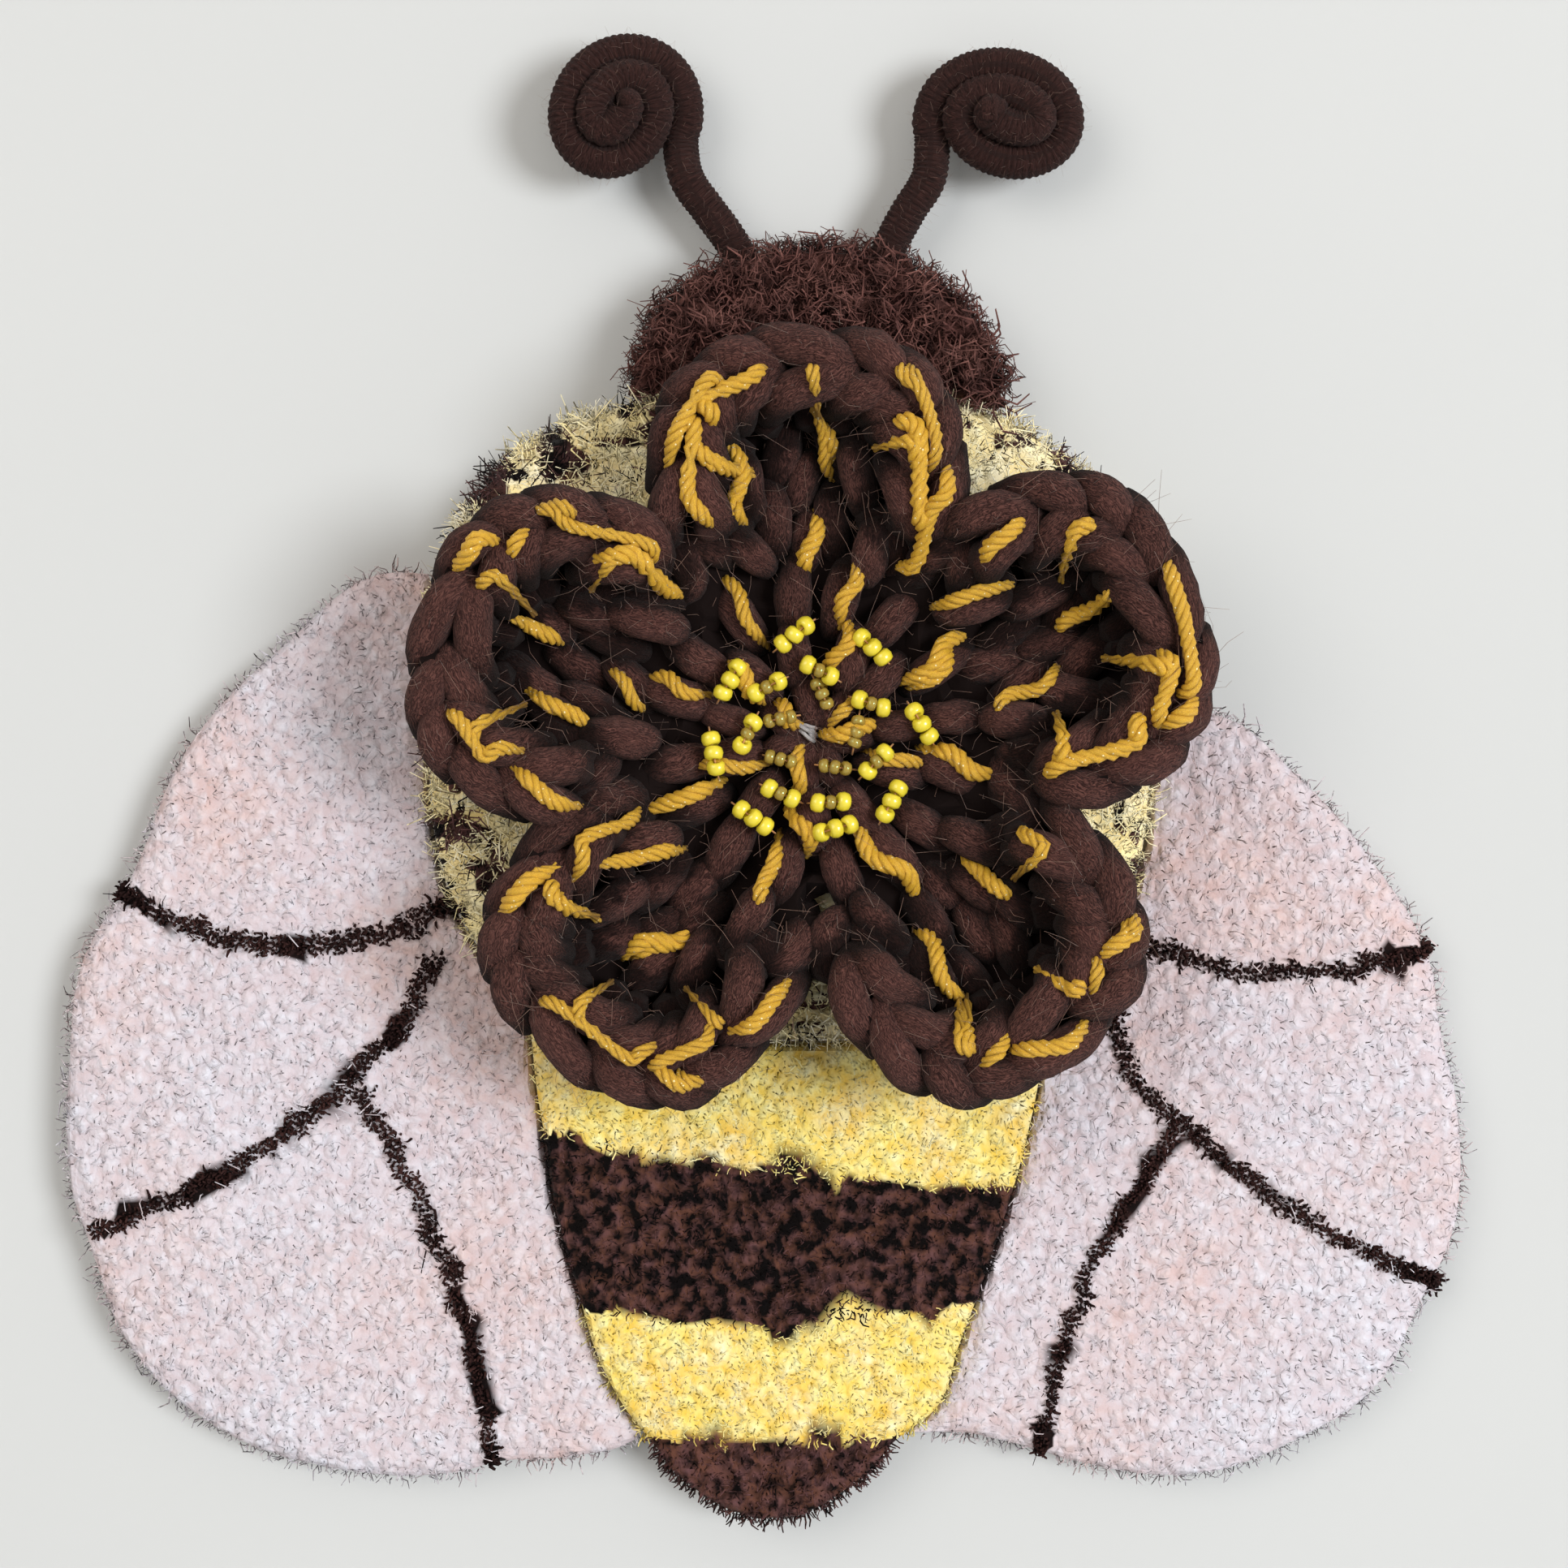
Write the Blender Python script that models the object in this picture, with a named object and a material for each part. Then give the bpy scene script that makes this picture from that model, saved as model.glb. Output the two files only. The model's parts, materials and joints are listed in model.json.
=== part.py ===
# A bee-shaped textile wall hanging: tufted body and wings, wrapped antennae, a crocheted flower.
# +Z is up, -Y faces the room and the wall is the plane y = 0.
# The origin is the point that it hangs from, at the top of the head's back.
# Sizes are written in millimetres and multiplied by MM where they become points.

import math
import random

import bmesh
import bpy
from mathutils import Vector, noise

MM = 0.001
GAP = 0.3

# Tufted panels: the middle of each outline, its half sizes, and how far it stands off the wall.
HEAD = {"x": 2.8, "z": -27.0, "half_width": 32.5, "half_height": 26.5, "power": 2.1, "depth": 13.0}
THORAX = {"x": -1.6, "z": -80.7, "half_width": 61.0, "half_height": 54.5, "power": 3.0, "depth": 13.0}
ABDOMEN = {"x": -2.5, "z": -158.0, "depth": 11.0}
WING = {"depth": 8.2}

# The abdomen's half width at each height, from its top edge under the flower down to the tail.
ABDOMEN_SIDES = (
    {"z": -120.0, "half_width": 42.0, "lean": 0.5},
    {"z": -136.0, "half_width": 42.8, "lean": 0.5},
    {"z": -150.5, "half_width": 40.6, "lean": 0.2},
    {"z": -164.0, "half_width": 37.6, "lean": -0.6},
    {"z": -177.5, "half_width": 33.4, "lean": -1.0},
    {"z": -186.6, "half_width": 30.4, "lean": -1.4},
    {"z": -195.5, "half_width": 26.8, "lean": -0.6},
    {"z": -201.0, "half_width": 21.6, "lean": -1.8},
    {"z": -208.5, "half_width": 15.4, "lean": -2.4},
)
TAIL_TIP = {"x": -4.2, "z": -215.5}

# Each wing is a fan of shallow scallops round its root: the reach to its edge at each angle, in degrees.
WINGS = {
    "wing_left": {
        "root": (-30.0, -120.0),
        "edge": (
            {"angle": 120, "reach": 75.0}, {"angle": 138, "reach": 77.5}, {"angle": 155, "reach": 81.5},
            {"angle": 172, "reach": 84.5}, {"angle": 180, "reach": 91.0}, {"angle": 191, "reach": 95.5},
            {"angle": 203, "reach": 101.5}, {"angle": 209, "reach": 103.0}, {"angle": 219, "reach": 107.0},
            {"angle": 230, "reach": 106.0}, {"angle": 241, "reach": 100.5}, {"angle": 252, "reach": 93.5},
            {"angle": 257, "reach": 89.0}, {"angle": 264, "reach": 86.5}, {"angle": 272, "reach": 83.0},
        ),
        "under_body": ((-16.0, -186.0), (-18.0, -130.0), (-30.0, -78.0)),
    },
    "wing_right": {
        "root": (30.0, -120.0),
        "edge": (
            {"angle": 46, "reach": 57.0}, {"angle": 28, "reach": 62.5}, {"angle": 12, "reach": 69.5},
            {"angle": 0, "reach": 76.5}, {"angle": -9, "reach": 79.5}, {"angle": -19, "reach": 86.5},
            {"angle": -30, "reach": 93.5}, {"angle": -39, "reach": 96.0}, {"angle": -47, "reach": 100.0},
            {"angle": -57, "reach": 99.0}, {"angle": -68, "reach": 96.0}, {"angle": -79, "reach": 88.5},
            {"angle": -84, "reach": 85.0}, {"angle": -91, "reach": 82.0}, {"angle": -101, "reach": 81.5},
        ),
        "under_body": ((8.0, -182.0), (14.0, -130.0), (28.0, -88.0)),
    },
}

# Cross-section of a tufted panel from its back edge round to its front: share of outline, share of depth.
PILE_RINGS = ((0.965, 0.0), (0.992, 0.22), (1.0, 0.5), (0.985, 0.8), (0.94, 0.97), (0.84, 1.0), (0.6, 1.03),
              (0.3, 1.04))
BODY_RINGS = ((0.97, 0.0), (0.995, 0.25), (1.0, 0.75), (0.99, 0.93), (0.965, 1.0), (0.84, 1.02), (0.6, 1.03),
              (0.3, 1.04))
SHAG_RINGS = ((0.95, 0.0), (0.985, 0.3), (1.0, 0.66), (0.955, 0.97), (0.86, 1.0), (0.72, 1.0), (0.5, 1.0),
              (0.25, 1.0))
UNEVEN = {"height": 0.55, "spread": 24.0}
LOCKS = {"shortest": 2.0, "longest": 5.2, "lump": 1.6}

# The flower: five cupped petals round a low disc, with the crochet stitches raised along each petal's rim.
FLOWER = {"x": 2.4, "z": -84.0, "disc_radius": 26.0, "disc_height": 6.5, "seat": 13.3}
PETALS = (
    {"angle": 92.0, "reach": 41.0, "half_length": 23.0, "half_width": 24.5, "rim": 20.0},
    {"angle": 21.0, "reach": 41.0, "half_length": 23.0, "half_width": 25.5, "rim": 22.5},
    {"angle": -51.0, "reach": 41.5, "half_length": 23.5, "half_width": 24.5, "rim": 22.0},
    {"angle": 231.0, "reach": 42.0, "half_length": 24.0, "half_width": 24.5, "rim": 20.5},
    {"angle": 163.0, "reach": 41.5, "half_length": 23.5, "half_width": 25.5, "rim": 22.0},
)
PETAL_POWER = 2.5
PETAL_POINTS = 60
# From the petal's foot up its outside, over the rolled rim and down into the cup:
# share of outline, share of height.
PETAL_RINGS = ((0.34, 0.0), (0.62, 0.12), (0.86, 0.42), (0.99, 0.72), (1.0, 0.9), (0.93, 1.03), (0.83, 1.0),
               (0.74, 0.76), (0.62, 0.44), (0.4, 0.28), (0.2, 0.26))
RIM_FIRST, RIM_LAST = 3, 7
DISC_RINGS = ((0.86, 0.0), (1.0, 0.3), (0.96, 0.7), (0.8, 0.95), (0.55, 1.0), (0.3, 0.85))
STITCH = {"count": 10, "bulge": 2.0, "slant": 0.3, "post_bulge": 1.1}
# The cup opens towards the flower's middle: its height there, as a share, and where it reaches full height.
MOUTH = {"share": 0.36, "from": -0.95, "to": -0.1}

# The antennae: a wrapped wire that climbs from a pocket in the head and winds into a spiral,
# rising as it closes.
ANTENNA = {"radius": 2.8, "pitch": 4.9, "rise": 2.9, "turns": 2.3, "sides": 2, "pocket": 9.0}
ANTENNAE = {
    "antenna_left": {
        "stem": ((-7.2, -5.5, -9.0), (-11.2, -5.8, -1.2), (-15.4, -6.2, 4.6), (-18.9, -6.6, 9.6)),
        "middle": (-30.2, -7.2, 20.0), "long_radius": 12.4, "short_radius": 11.0, "turn": 1,
        "long_axis": 48.0, "tilt": 10.0, "from_angle": -24.0,
    },
    "antenna_right": {
        "stem": ((12.4, -5.5, -9.5), (15.4, -5.8, -1.2), (18.4, -6.2, 4.4), (21.6, -6.6, 9.6)),
        "middle": (34.4, -7.2, 18.8), "long_radius": 12.9, "short_radius": 10.5, "turn": -1,
        "long_axis": -8.0, "tilt": 10.0, "from_angle": 198.0,
    },
}

FINISHES = {
    "brown_shag": {"colour": (0.075, 0.035, 0.028), "roughness": 0.95},
    "cream_shag": {"colour": (0.70, 0.66, 0.36), "roughness": 0.95},
    "yellow_pile": {"colour": (0.86, 0.62, 0.14), "roughness": 0.9},
    "pink_pile": {"colour": (0.78, 0.68, 0.69), "roughness": 0.9},
    "thick_yarn": {"colour": (0.07, 0.03, 0.025), "roughness": 0.85},
    "wrapped_yarn": {"colour": (0.08, 0.035, 0.028), "roughness": 0.8},
}


def clear_scene():
    for old in list(bpy.data.objects):
        bpy.data.objects.remove(old)


def new_collection(name):
    made = bpy.data.collections.new(name)
    bpy.context.scene.collection.children.link(made)
    return made


def finish_of(name):
    material = bpy.data.materials.get(name) or bpy.data.materials.new(name)
    material.use_nodes = True
    shader = material.node_tree.nodes["Principled BSDF"]
    shader.inputs["Base Color"].default_value = (*FINISHES[name]["colour"], 1.0)
    shader.inputs["Roughness"].default_value = FINISHES[name]["roughness"]
    shader.inputs["Metallic"].default_value = 0.0
    return material


def add_object(name, bm, collection, finish=None):
    # Turns a bmesh in millimetres into a named object in metres.
    bmesh.ops.recalc_face_normals(bm, faces=bm.faces)
    bmesh.ops.scale(bm, vec=(MM, MM, MM), verts=bm.verts)
    mesh = bpy.data.meshes.new(name)
    bm.to_mesh(mesh)
    bm.free()
    made = bpy.data.objects.new(name, mesh)
    collection.objects.link(made)
    if finish:
        mesh.materials.append(finish_of(finish))
    return made


def as_cutter(made):
    made.hide_render = True
    made.display_type = "WIRE"
    return made


def boolean(target, other, operation):
    modifier = target.modifiers.new(operation.lower() + "_" + other.name, "BOOLEAN")
    modifier.operation = operation
    modifier.object = other
    modifier.solver = "EXACT"


def superellipse(half_width, half_height, power, count):
    points = []
    for step in range(count):
        angle = 2 * math.pi * step / count
        across, up = math.cos(angle), math.sin(angle)
        x = half_width * math.copysign(abs(across) ** (2 / power), across)
        z = half_height * math.copysign(abs(up) ** (2 / power), up)
        points.append((x, z))
    return points


def panel_outline(sizes, count, grow=0.0):
    loop = superellipse(sizes["half_width"] + grow, sizes["half_height"] + grow, sizes["power"], count)
    return [(sizes["x"] + x, sizes["z"] + z) for x, z in loop]


def smooth_loop(points, steps):
    # A closed curve through the points, read back as evenly stepped ones.
    data = bpy.data.curves.new("loop", "CURVE")
    data.dimensions = "3D"
    data.resolution_u = steps
    spline = data.splines.new("BEZIER")
    spline.bezier_points.add(len(points) - 1)
    spline.use_cyclic_u = True
    for knot, (x, z) in zip(spline.bezier_points, points):
        knot.co = (x, 0.0, z)
        knot.handle_left_type = knot.handle_right_type = "AUTO"
    guide = bpy.data.objects.new("loop", data)
    bpy.context.scene.collection.objects.link(guide)
    bpy.context.view_layer.update()
    mesh = bpy.data.meshes.new_from_object(guide.evaluated_get(bpy.context.evaluated_depsgraph_get()))
    loop = [(v.co.x, v.co.z) for v in mesh.vertices]
    bpy.data.objects.remove(guide)
    bpy.data.meshes.remove(mesh)
    return loop


def abdomen_outline(grow=0.0):
    right = [(ABDOMEN["x"] + s["lean"] + s["half_width"] + grow, s["z"]) for s in ABDOMEN_SIDES]
    left = [(ABDOMEN["x"] + s["lean"] - s["half_width"] - grow, s["z"]) for s in reversed(ABDOMEN_SIDES)]
    tip = [(TAIL_TIP["x"], TAIL_TIP["z"] - grow)]
    return smooth_loop(right + tip + left, 4)


def ring_loft(outline, middle, rings, depth, start=0.0):
    # Lofts the outline through rings that are shares of its size and of the depth in front of the start.
    bm = bmesh.new()
    share, deep = rings[0]
    mx, mz = middle
    y = -(start + deep * depth)
    first = [bm.verts.new((mx + (x - mx) * share, y, mz + (z - mz) * share)) for x, z in outline]
    bm.faces.new(first)
    edges = list(bm.edges)
    before = share
    for share, deep in rings[1:]:
        made = bmesh.ops.extrude_edge_only(bm, edges=edges)["geom"]
        edges = [e for e in made if isinstance(e, bmesh.types.BMEdge) and e.is_boundary]
        for v in {v for e in edges for v in e.verts}:
            v.co.x = mx + (v.co.x - mx) * share / before
            v.co.z = mz + (v.co.z - mz) * share / before
            v.co.y = -(start + deep * depth)
        before = share
    bmesh.ops.contextual_create(bm, geom=edges)
    return bm


def make_uneven(bm, depth):
    # Hand-tufted pile is never quite level.
    for v in bm.verts:
        if -v.co.y > 0.9 * depth:
            spot = Vector((v.co.x, 0.0, v.co.z)) / UNEVEN["spread"]
            v.co.y -= UNEVEN["height"] * noise.noise(spot)


def raise_shag(bm, depth, seed, is_rim_free, is_front_free):
    # Each quad of the rim is drawn out into a four-sided lock, and each of the front into a low lump.
    chance = random.Random(seed)
    bm.normal_update()
    quads = [f for f in bm.faces if len(f.verts) == 4]
    rim = [f for f in quads if -f.calc_center_median().y > 0.66 * depth and abs(f.normal.y) < 0.8]
    front = [f for f in quads if abs(f.normal.y) >= 0.8 and -f.calc_center_median().y > 0.9 * depth]
    rim = [f for f in rim if is_rim_free(f.calc_center_median())]
    front = [f for f in front if is_front_free(f.calc_center_median())]
    ways = {}
    for f in rim:
        way = Vector((f.normal.x, min(f.normal.y, -0.1), f.normal.z)).normalized()
        ways[f] = way * chance.uniform(LOCKS["shortest"], LOCKS["longest"])
    for f in front:
        ways[f] = Vector((0.0, -1.0, 0.0)) * chance.uniform(0.4, 1.0) * LOCKS["lump"]
    for face, way in ways.items():
        tip = bmesh.ops.poke(bm, faces=[face])["verts"][0]
        tip.co += way


def prism(name, outline, front, collection):
    # A cutter with the outline's shape, running from behind the wall to in front of the panel.
    bm = bmesh.new()
    base = bm.faces.new([bm.verts.new((x, 10.0, z)) for x, z in outline])
    made = bmesh.ops.extrude_face_region(bm, geom=[base])["geom"]
    for v in [v for v in made if isinstance(v, bmesh.types.BMVert)]:
        v.co.y = -front
    return as_cutter(add_object(name, bm, collection))


def from_flower(point):
    return math.hypot(point.x - FLOWER["x"], point.z - FLOWER["z"])


def build_head(parts):
    bm = ring_loft(panel_outline(HEAD, 44), (HEAD["x"], HEAD["z"]), SHAG_RINGS, HEAD["depth"])
    above_flower = THORAX["z"] + THORAX["half_height"]
    petal_edge = FLOWER["z"] + PETALS[0]["reach"] + PETALS[0]["half_length"]
    raise_shag(bm, HEAD["depth"], 3, lambda p: p.z > above_flower + 3.0, lambda p: p.z > petal_edge - 6.0)
    return add_object("head", bm, parts, "brown_shag")


def build_thorax(parts):
    def shoulder(p):
        return not (p.z > -40.0 and abs(p.x - HEAD["x"]) < HEAD["half_width"] + 6.0)

    def flank(p):
        return not (p.z < -118.0 and abs(p.x - ABDOMEN["x"]) < ABDOMEN_SIDES[0]["half_width"] + 6.0)

    outline = panel_outline(THORAX, 64)
    bm = ring_loft(outline, (THORAX["x"], THORAX["z"]), SHAG_RINGS, THORAX["depth"])
    def open_front(p):
        return from_flower(p) > 58.0 and shoulder(p)

    raise_shag(bm, THORAX["depth"], 7, lambda p: shoulder(p) and flank(p), open_front)
    return add_object("thorax", bm, parts, "cream_shag")


def build_abdomen(parts):
    bm = ring_loft(abdomen_outline(), (ABDOMEN["x"], ABDOMEN["z"]), BODY_RINGS, ABDOMEN["depth"])
    make_uneven(bm, ABDOMEN["depth"])
    return add_object("abdomen", bm, parts, "yellow_pile")


def wing_outline(sizes):
    root_x, root_z = sizes["root"]
    edge = []
    for row in sizes["edge"]:
        angle = math.radians(row["angle"])
        edge.append((root_x + row["reach"] * math.cos(angle), root_z + row["reach"] * math.sin(angle)))
    return smooth_loop(edge + list(sizes["under_body"]), 4)


def build_wing(name, parts):
    outline = wing_outline(WINGS[name])
    middle = [sum(p[i] for p in outline) / len(outline) for i in (0, 1)]
    bm = ring_loft(outline, middle, PILE_RINGS, WING["depth"])
    make_uneven(bm, WING["depth"])
    return add_object(name, bm, parts, "pink_pile")


def cup_height(p_share):
    # The rim sinks towards the flower's middle, so that each cup opens there.
    span = MOUTH["to"] - MOUTH["from"]
    t = min(1.0, max(0.0, (p_share - MOUTH["from"]) / span))
    return MOUTH["share"] + (1.0 - MOUTH["share"]) * t * t * (3.0 - 2.0 * t)


def petal_point(petal, turn, share, height, bulge):
    # A point of a petal: turn is the angle round its outline, share its ring and height its ring's height.
    across, along = math.sin(turn), -math.cos(turn)
    q = petal["half_width"] * math.copysign(abs(across) ** (2 / PETAL_POWER), across)
    p_share = math.copysign(abs(along) ** (2 / PETAL_POWER), along)
    length = petal["half_length"]
    reach = max(math.hypot(q, p_share * length), 1.0)
    grow = share + bulge / reach
    p = petal["reach"] + p_share * length * grow
    q *= grow
    h = petal["rim"] * height * cup_height(p_share * share)
    angle = math.radians(petal["angle"])
    x = FLOWER["x"] + p * math.cos(angle) - q * math.sin(angle)
    z = FLOWER["z"] + p * math.sin(angle) + q * math.cos(angle)
    return Vector((x, -(FLOWER["seat"] + h + bulge * 0.6 * (height > 0.9)), z))


def stitch_bulge(turn, row):
    # Rounded stitches with a groove between: slanting both ways on the rim, upright as posts inside the cup.
    if row < RIM_FIRST:
        return 0.0
    on_rim = row <= RIM_LAST
    slant = STITCH["slant"] * math.pi * abs(row - (RIM_FIRST + RIM_LAST) / 2) if on_rim else 0.0
    pillow = abs(math.sin(0.5 * (STITCH["count"] * turn + slant))) ** 0.7
    return (STITCH["bulge"] if on_rim else STITCH["post_bulge"]) * (pillow - 0.5)


def build_petal(number, petal, guides):
    # A grid wrapped into rings; the stitches are raised where the rings cross the rim.
    columns, rows = PETAL_POINTS, len(PETAL_RINGS)
    bm = bmesh.new()
    bmesh.ops.create_grid(bm, x_segments=columns, y_segments=rows - 1, size=0.5)
    for v in bm.verts:
        column = round((v.co.x + 0.5) * columns)
        row = round((v.co.y + 0.5) * (rows - 1))
        share, height = PETAL_RINGS[row]
        turn = 2 * math.pi * column / columns
        v.co = petal_point(petal, turn, share, height, stitch_bulge(turn, row))
    bmesh.ops.remove_doubles(bm, verts=bm.verts, dist=0.01)
    ends = [e for e in bm.edges if e.is_boundary]
    bmesh.ops.holes_fill(bm, edges=ends)
    return as_cutter(add_object("petal_{}".format(number), bm, guides))


def build_flower(parts, guides):
    middle = (FLOWER["x"], FLOWER["z"])
    loop = superellipse(FLOWER["disc_radius"], FLOWER["disc_radius"], 2.0, 40)
    outline = [(middle[0] + x, middle[1] + z) for x, z in loop]
    bm = ring_loft(outline, middle, DISC_RINGS, FLOWER["disc_height"], FLOWER["seat"])
    flower = add_object("flower", bm, parts, "thick_yarn")
    for number, petal in enumerate(PETALS):
        boolean(flower, build_petal(number, petal, guides), "UNION")
    return flower


def antenna_path(sizes):
    # The stem's own points, then the spiral's, computed turn by turn in its tilted plane.
    long_axis, tilt = math.radians(sizes["long_axis"]), math.radians(sizes["tilt"])
    along = Vector((math.cos(long_axis), 0.0, math.sin(long_axis)))
    across = Vector((-math.sin(long_axis), -math.tan(tilt), math.cos(long_axis))) * math.cos(tilt)
    path = [Vector(p) for p in sizes["stem"]]
    steps = round(ANTENNA["turns"] * 20)
    for step in range(steps + 1):
        turned = 2 * math.pi * ANTENNA["turns"] * step / steps
        angle = math.radians(sizes["from_angle"]) + sizes["turn"] * turned - long_axis
        inward = ANTENNA["pitch"] * turned / (2 * math.pi)
        far = max(sizes["long_radius"] - inward, 1.2) * math.cos(angle)
        near = max(sizes["short_radius"] - inward, 0.8) * math.sin(angle)
        forward = Vector((0.0, -ANTENNA["rise"] * turned / (2 * math.pi), 0.0))
        path.append(Vector(sizes["middle"]) + along * far + across * near + forward)
    return path


def smooth_path(knots, steps):
    # Catmull-Rom points through the knots.
    padded = [2 * knots[0] - knots[1]] + knots + [2 * knots[-1] - knots[-2]]
    points = []
    for a, b, c, d in zip(padded, padded[1:], padded[2:], padded[3:]):
        for step in range(steps):
            t = step / steps
            bend, twist = 2 * a - 5 * b + 4 * c - d, 3 * b - a - 3 * c + d
            points.append(0.5 * (2 * b + (c - a) * t + bend * t * t + twist * t ** 3))
    points.append(knots[-1])
    return points


def tube(name, points, radius, collection, finish=None):
    data = bpy.data.curves.new(name, "CURVE")
    data.dimensions = "3D"
    data.bevel_depth = radius * MM
    data.bevel_resolution = ANTENNA["sides"]
    data.use_fill_caps = True
    spline = data.splines.new("POLY")
    spline.points.add(len(points) - 1)
    for knot, place in zip(spline.points, points):
        knot.co = (*(place * MM), 1.0)
    made = bpy.data.objects.new(name, data)
    collection.objects.link(made)
    if finish:
        data.materials.append(finish_of(finish))
    return made


def mesh_of(curve_object, collection):
    # The curve's tube as a closed mesh, which a Boolean can use.
    graph = bpy.context.evaluated_depsgraph_get()
    mesh = bpy.data.meshes.new_from_object(curve_object.evaluated_get(graph))
    bm = bmesh.new()
    bm.from_mesh(mesh)
    bmesh.ops.remove_doubles(bm, verts=bm.verts, dist=0.00001)
    bm.to_mesh(mesh)
    bm.free()
    made = bpy.data.objects.new(curve_object.name + "_mesh", mesh)
    made.matrix_world = curve_object.matrix_world
    collection.objects.link(made)
    bpy.data.objects.remove(curve_object)
    return made


def build_antenna(name, head, parts, guides):
    path = smooth_path(antenna_path(ANTENNAE[name]), 2)
    tube(name, path, ANTENNA["radius"], parts, "wrapped_yarn")
    near = [p for p in path if (p - path[0]).length < ANTENNA["pocket"] + 8.0]
    first = path[0] + (path[0] - path[1]).normalized() * GAP
    pocket = tube(name + "_pocket", [first] + near[1:], ANTENNA["radius"] + GAP + 0.1, guides)
    boolean(head, as_cutter(mesh_of(pocket, guides)), "DIFFERENCE")


def main():
    clear_scene()
    parts = new_collection("bee_wall_hanging")
    guides = new_collection("cutters")
    head = build_head(parts)
    build_thorax(parts)
    abdomen = build_abdomen(parts)
    wings = [build_wing(name, parts) for name in WINGS]
    thorax_cut = prism("thorax_cut", panel_outline(THORAX, 64, GAP), 30.0, guides)
    abdomen_cut = prism("abdomen_cut", abdomen_outline(GAP), 30.0, guides)
    for panel in [head, abdomen, *wings]:
        boolean(panel, thorax_cut, "DIFFERENCE")
    for wing in wings:
        boolean(wing, abdomen_cut, "DIFFERENCE")
    build_flower(parts, guides)
    for name in ANTENNAE:
        build_antenna(name, head, parts, guides)
    for made in parts.objects:
        if made.type == "MESH":
            made.data.shade_smooth()


main()
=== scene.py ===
# Looks of the bee-shaped wall hanging: tufted pile, crochet flower, gold yarn, beads and wrapped antennae.
import json
import math
import random

import bmesh
import bpy
import numpy as np
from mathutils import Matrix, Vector, noise
from mathutils.bvhtree import BVHTree

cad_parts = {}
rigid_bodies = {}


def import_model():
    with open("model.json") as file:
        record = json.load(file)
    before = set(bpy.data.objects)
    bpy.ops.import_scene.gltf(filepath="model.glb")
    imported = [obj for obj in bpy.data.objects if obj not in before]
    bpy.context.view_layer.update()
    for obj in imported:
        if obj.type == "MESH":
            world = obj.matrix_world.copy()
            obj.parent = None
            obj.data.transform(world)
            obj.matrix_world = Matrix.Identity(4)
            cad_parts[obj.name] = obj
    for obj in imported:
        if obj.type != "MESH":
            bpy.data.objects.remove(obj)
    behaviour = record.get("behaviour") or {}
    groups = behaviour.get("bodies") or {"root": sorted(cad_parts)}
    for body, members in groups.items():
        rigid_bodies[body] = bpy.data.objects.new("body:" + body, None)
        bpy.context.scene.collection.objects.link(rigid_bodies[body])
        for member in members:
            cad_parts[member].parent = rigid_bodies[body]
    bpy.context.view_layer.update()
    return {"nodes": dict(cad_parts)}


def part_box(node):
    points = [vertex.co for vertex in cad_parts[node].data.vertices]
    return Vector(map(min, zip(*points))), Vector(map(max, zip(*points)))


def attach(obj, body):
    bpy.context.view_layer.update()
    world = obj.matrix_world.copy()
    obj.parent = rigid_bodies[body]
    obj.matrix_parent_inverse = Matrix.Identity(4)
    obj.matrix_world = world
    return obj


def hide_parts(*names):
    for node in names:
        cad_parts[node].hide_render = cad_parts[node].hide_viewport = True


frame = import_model()
mm = 0.001

camera = {"distance": 484.0, "x": -2.6, "z": -91.9, "viewWidth": 266.6}
flowerSizes = {"x": 2.4, "z": -84.0, "seat": 13.3}


def fill(tree, sockets, inputs):
    # links what is a socket and sets what is a plain value
    for key, value in inputs.items():
        if isinstance(value, bpy.types.NodeSocket):
            tree.links.new(value, sockets[key])
        else:
            sockets[key].default_value = value


def put(tree, kind, inputs=None, **settings):
    node = tree.nodes.new(kind)
    for key, value in settings.items():
        setattr(node, key, value)
    fill(tree, node.inputs, inputs or {})
    return node


def newGroup(name, kind, outputs, inputs):
    # a node group with its outputs by name and type, and its inputs with a starting value too
    tree = bpy.data.node_groups.new(name, kind)
    for key, socketType in outputs:
        tree.interface.new_socket(key, in_out="OUTPUT", socket_type="NodeSocket" + socketType)
    for key, socketType, value in inputs:
        made = tree.interface.new_socket(key, in_out="INPUT", socket_type="NodeSocket" + socketType)
        if value is not None:
            made.default_value = value
    return tree, tree.nodes.new("NodeGroupInput").outputs, tree.nodes.new("NodeGroupOutput").inputs


def mathOf(tree, operation, first, second, **settings):
    return put(tree, "ShaderNodeMath", {0: first, 1: second}, operation=operation, **settings).outputs[0]


def vectorOf(tree, operation, first, second):
    key = "Scale" if operation == "SCALE" else 1
    return put(tree, "ShaderNodeVectorMath", {0: first, key: second}, operation=operation).outputs[0]


def between(tree, value, low, high):
    # how far the value is from low to high, as 0 to 1
    return put(tree, "ShaderNodeMapRange", {"Value": value, "From Min": low, "From Max": high}).outputs[0]


def noiseOf(tree, coords, scale, detail):
    return put(tree, "ShaderNodeTexNoise", {"Vector": coords, "Scale": scale, "Detail": detail}).outputs


def grouped(tree, group, coords, scale):
    return put(tree, "ShaderNodeGroup", {"Vector": coords, "Scale": scale}, node_tree=group).outputs


def stored(tree, name, output="Fac"):
    return put(tree, "ShaderNodeAttribute", attribute_name=name).outputs[output]


def bumped(tree, height, strength, distance, under=None):
    inputs = {"Height": height, "Strength": strength, "Distance": distance}
    if under:
        inputs["Normal"] = under
    return put(tree, "ShaderNodeBump", inputs).outputs["Normal"]


def mixColour(tree, factor, first, second, **settings):
    return put(tree, "ShaderNodeMix", {0: factor, 6: first, 7: second}, data_type="RGBA", **settings).outputs[2]


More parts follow.
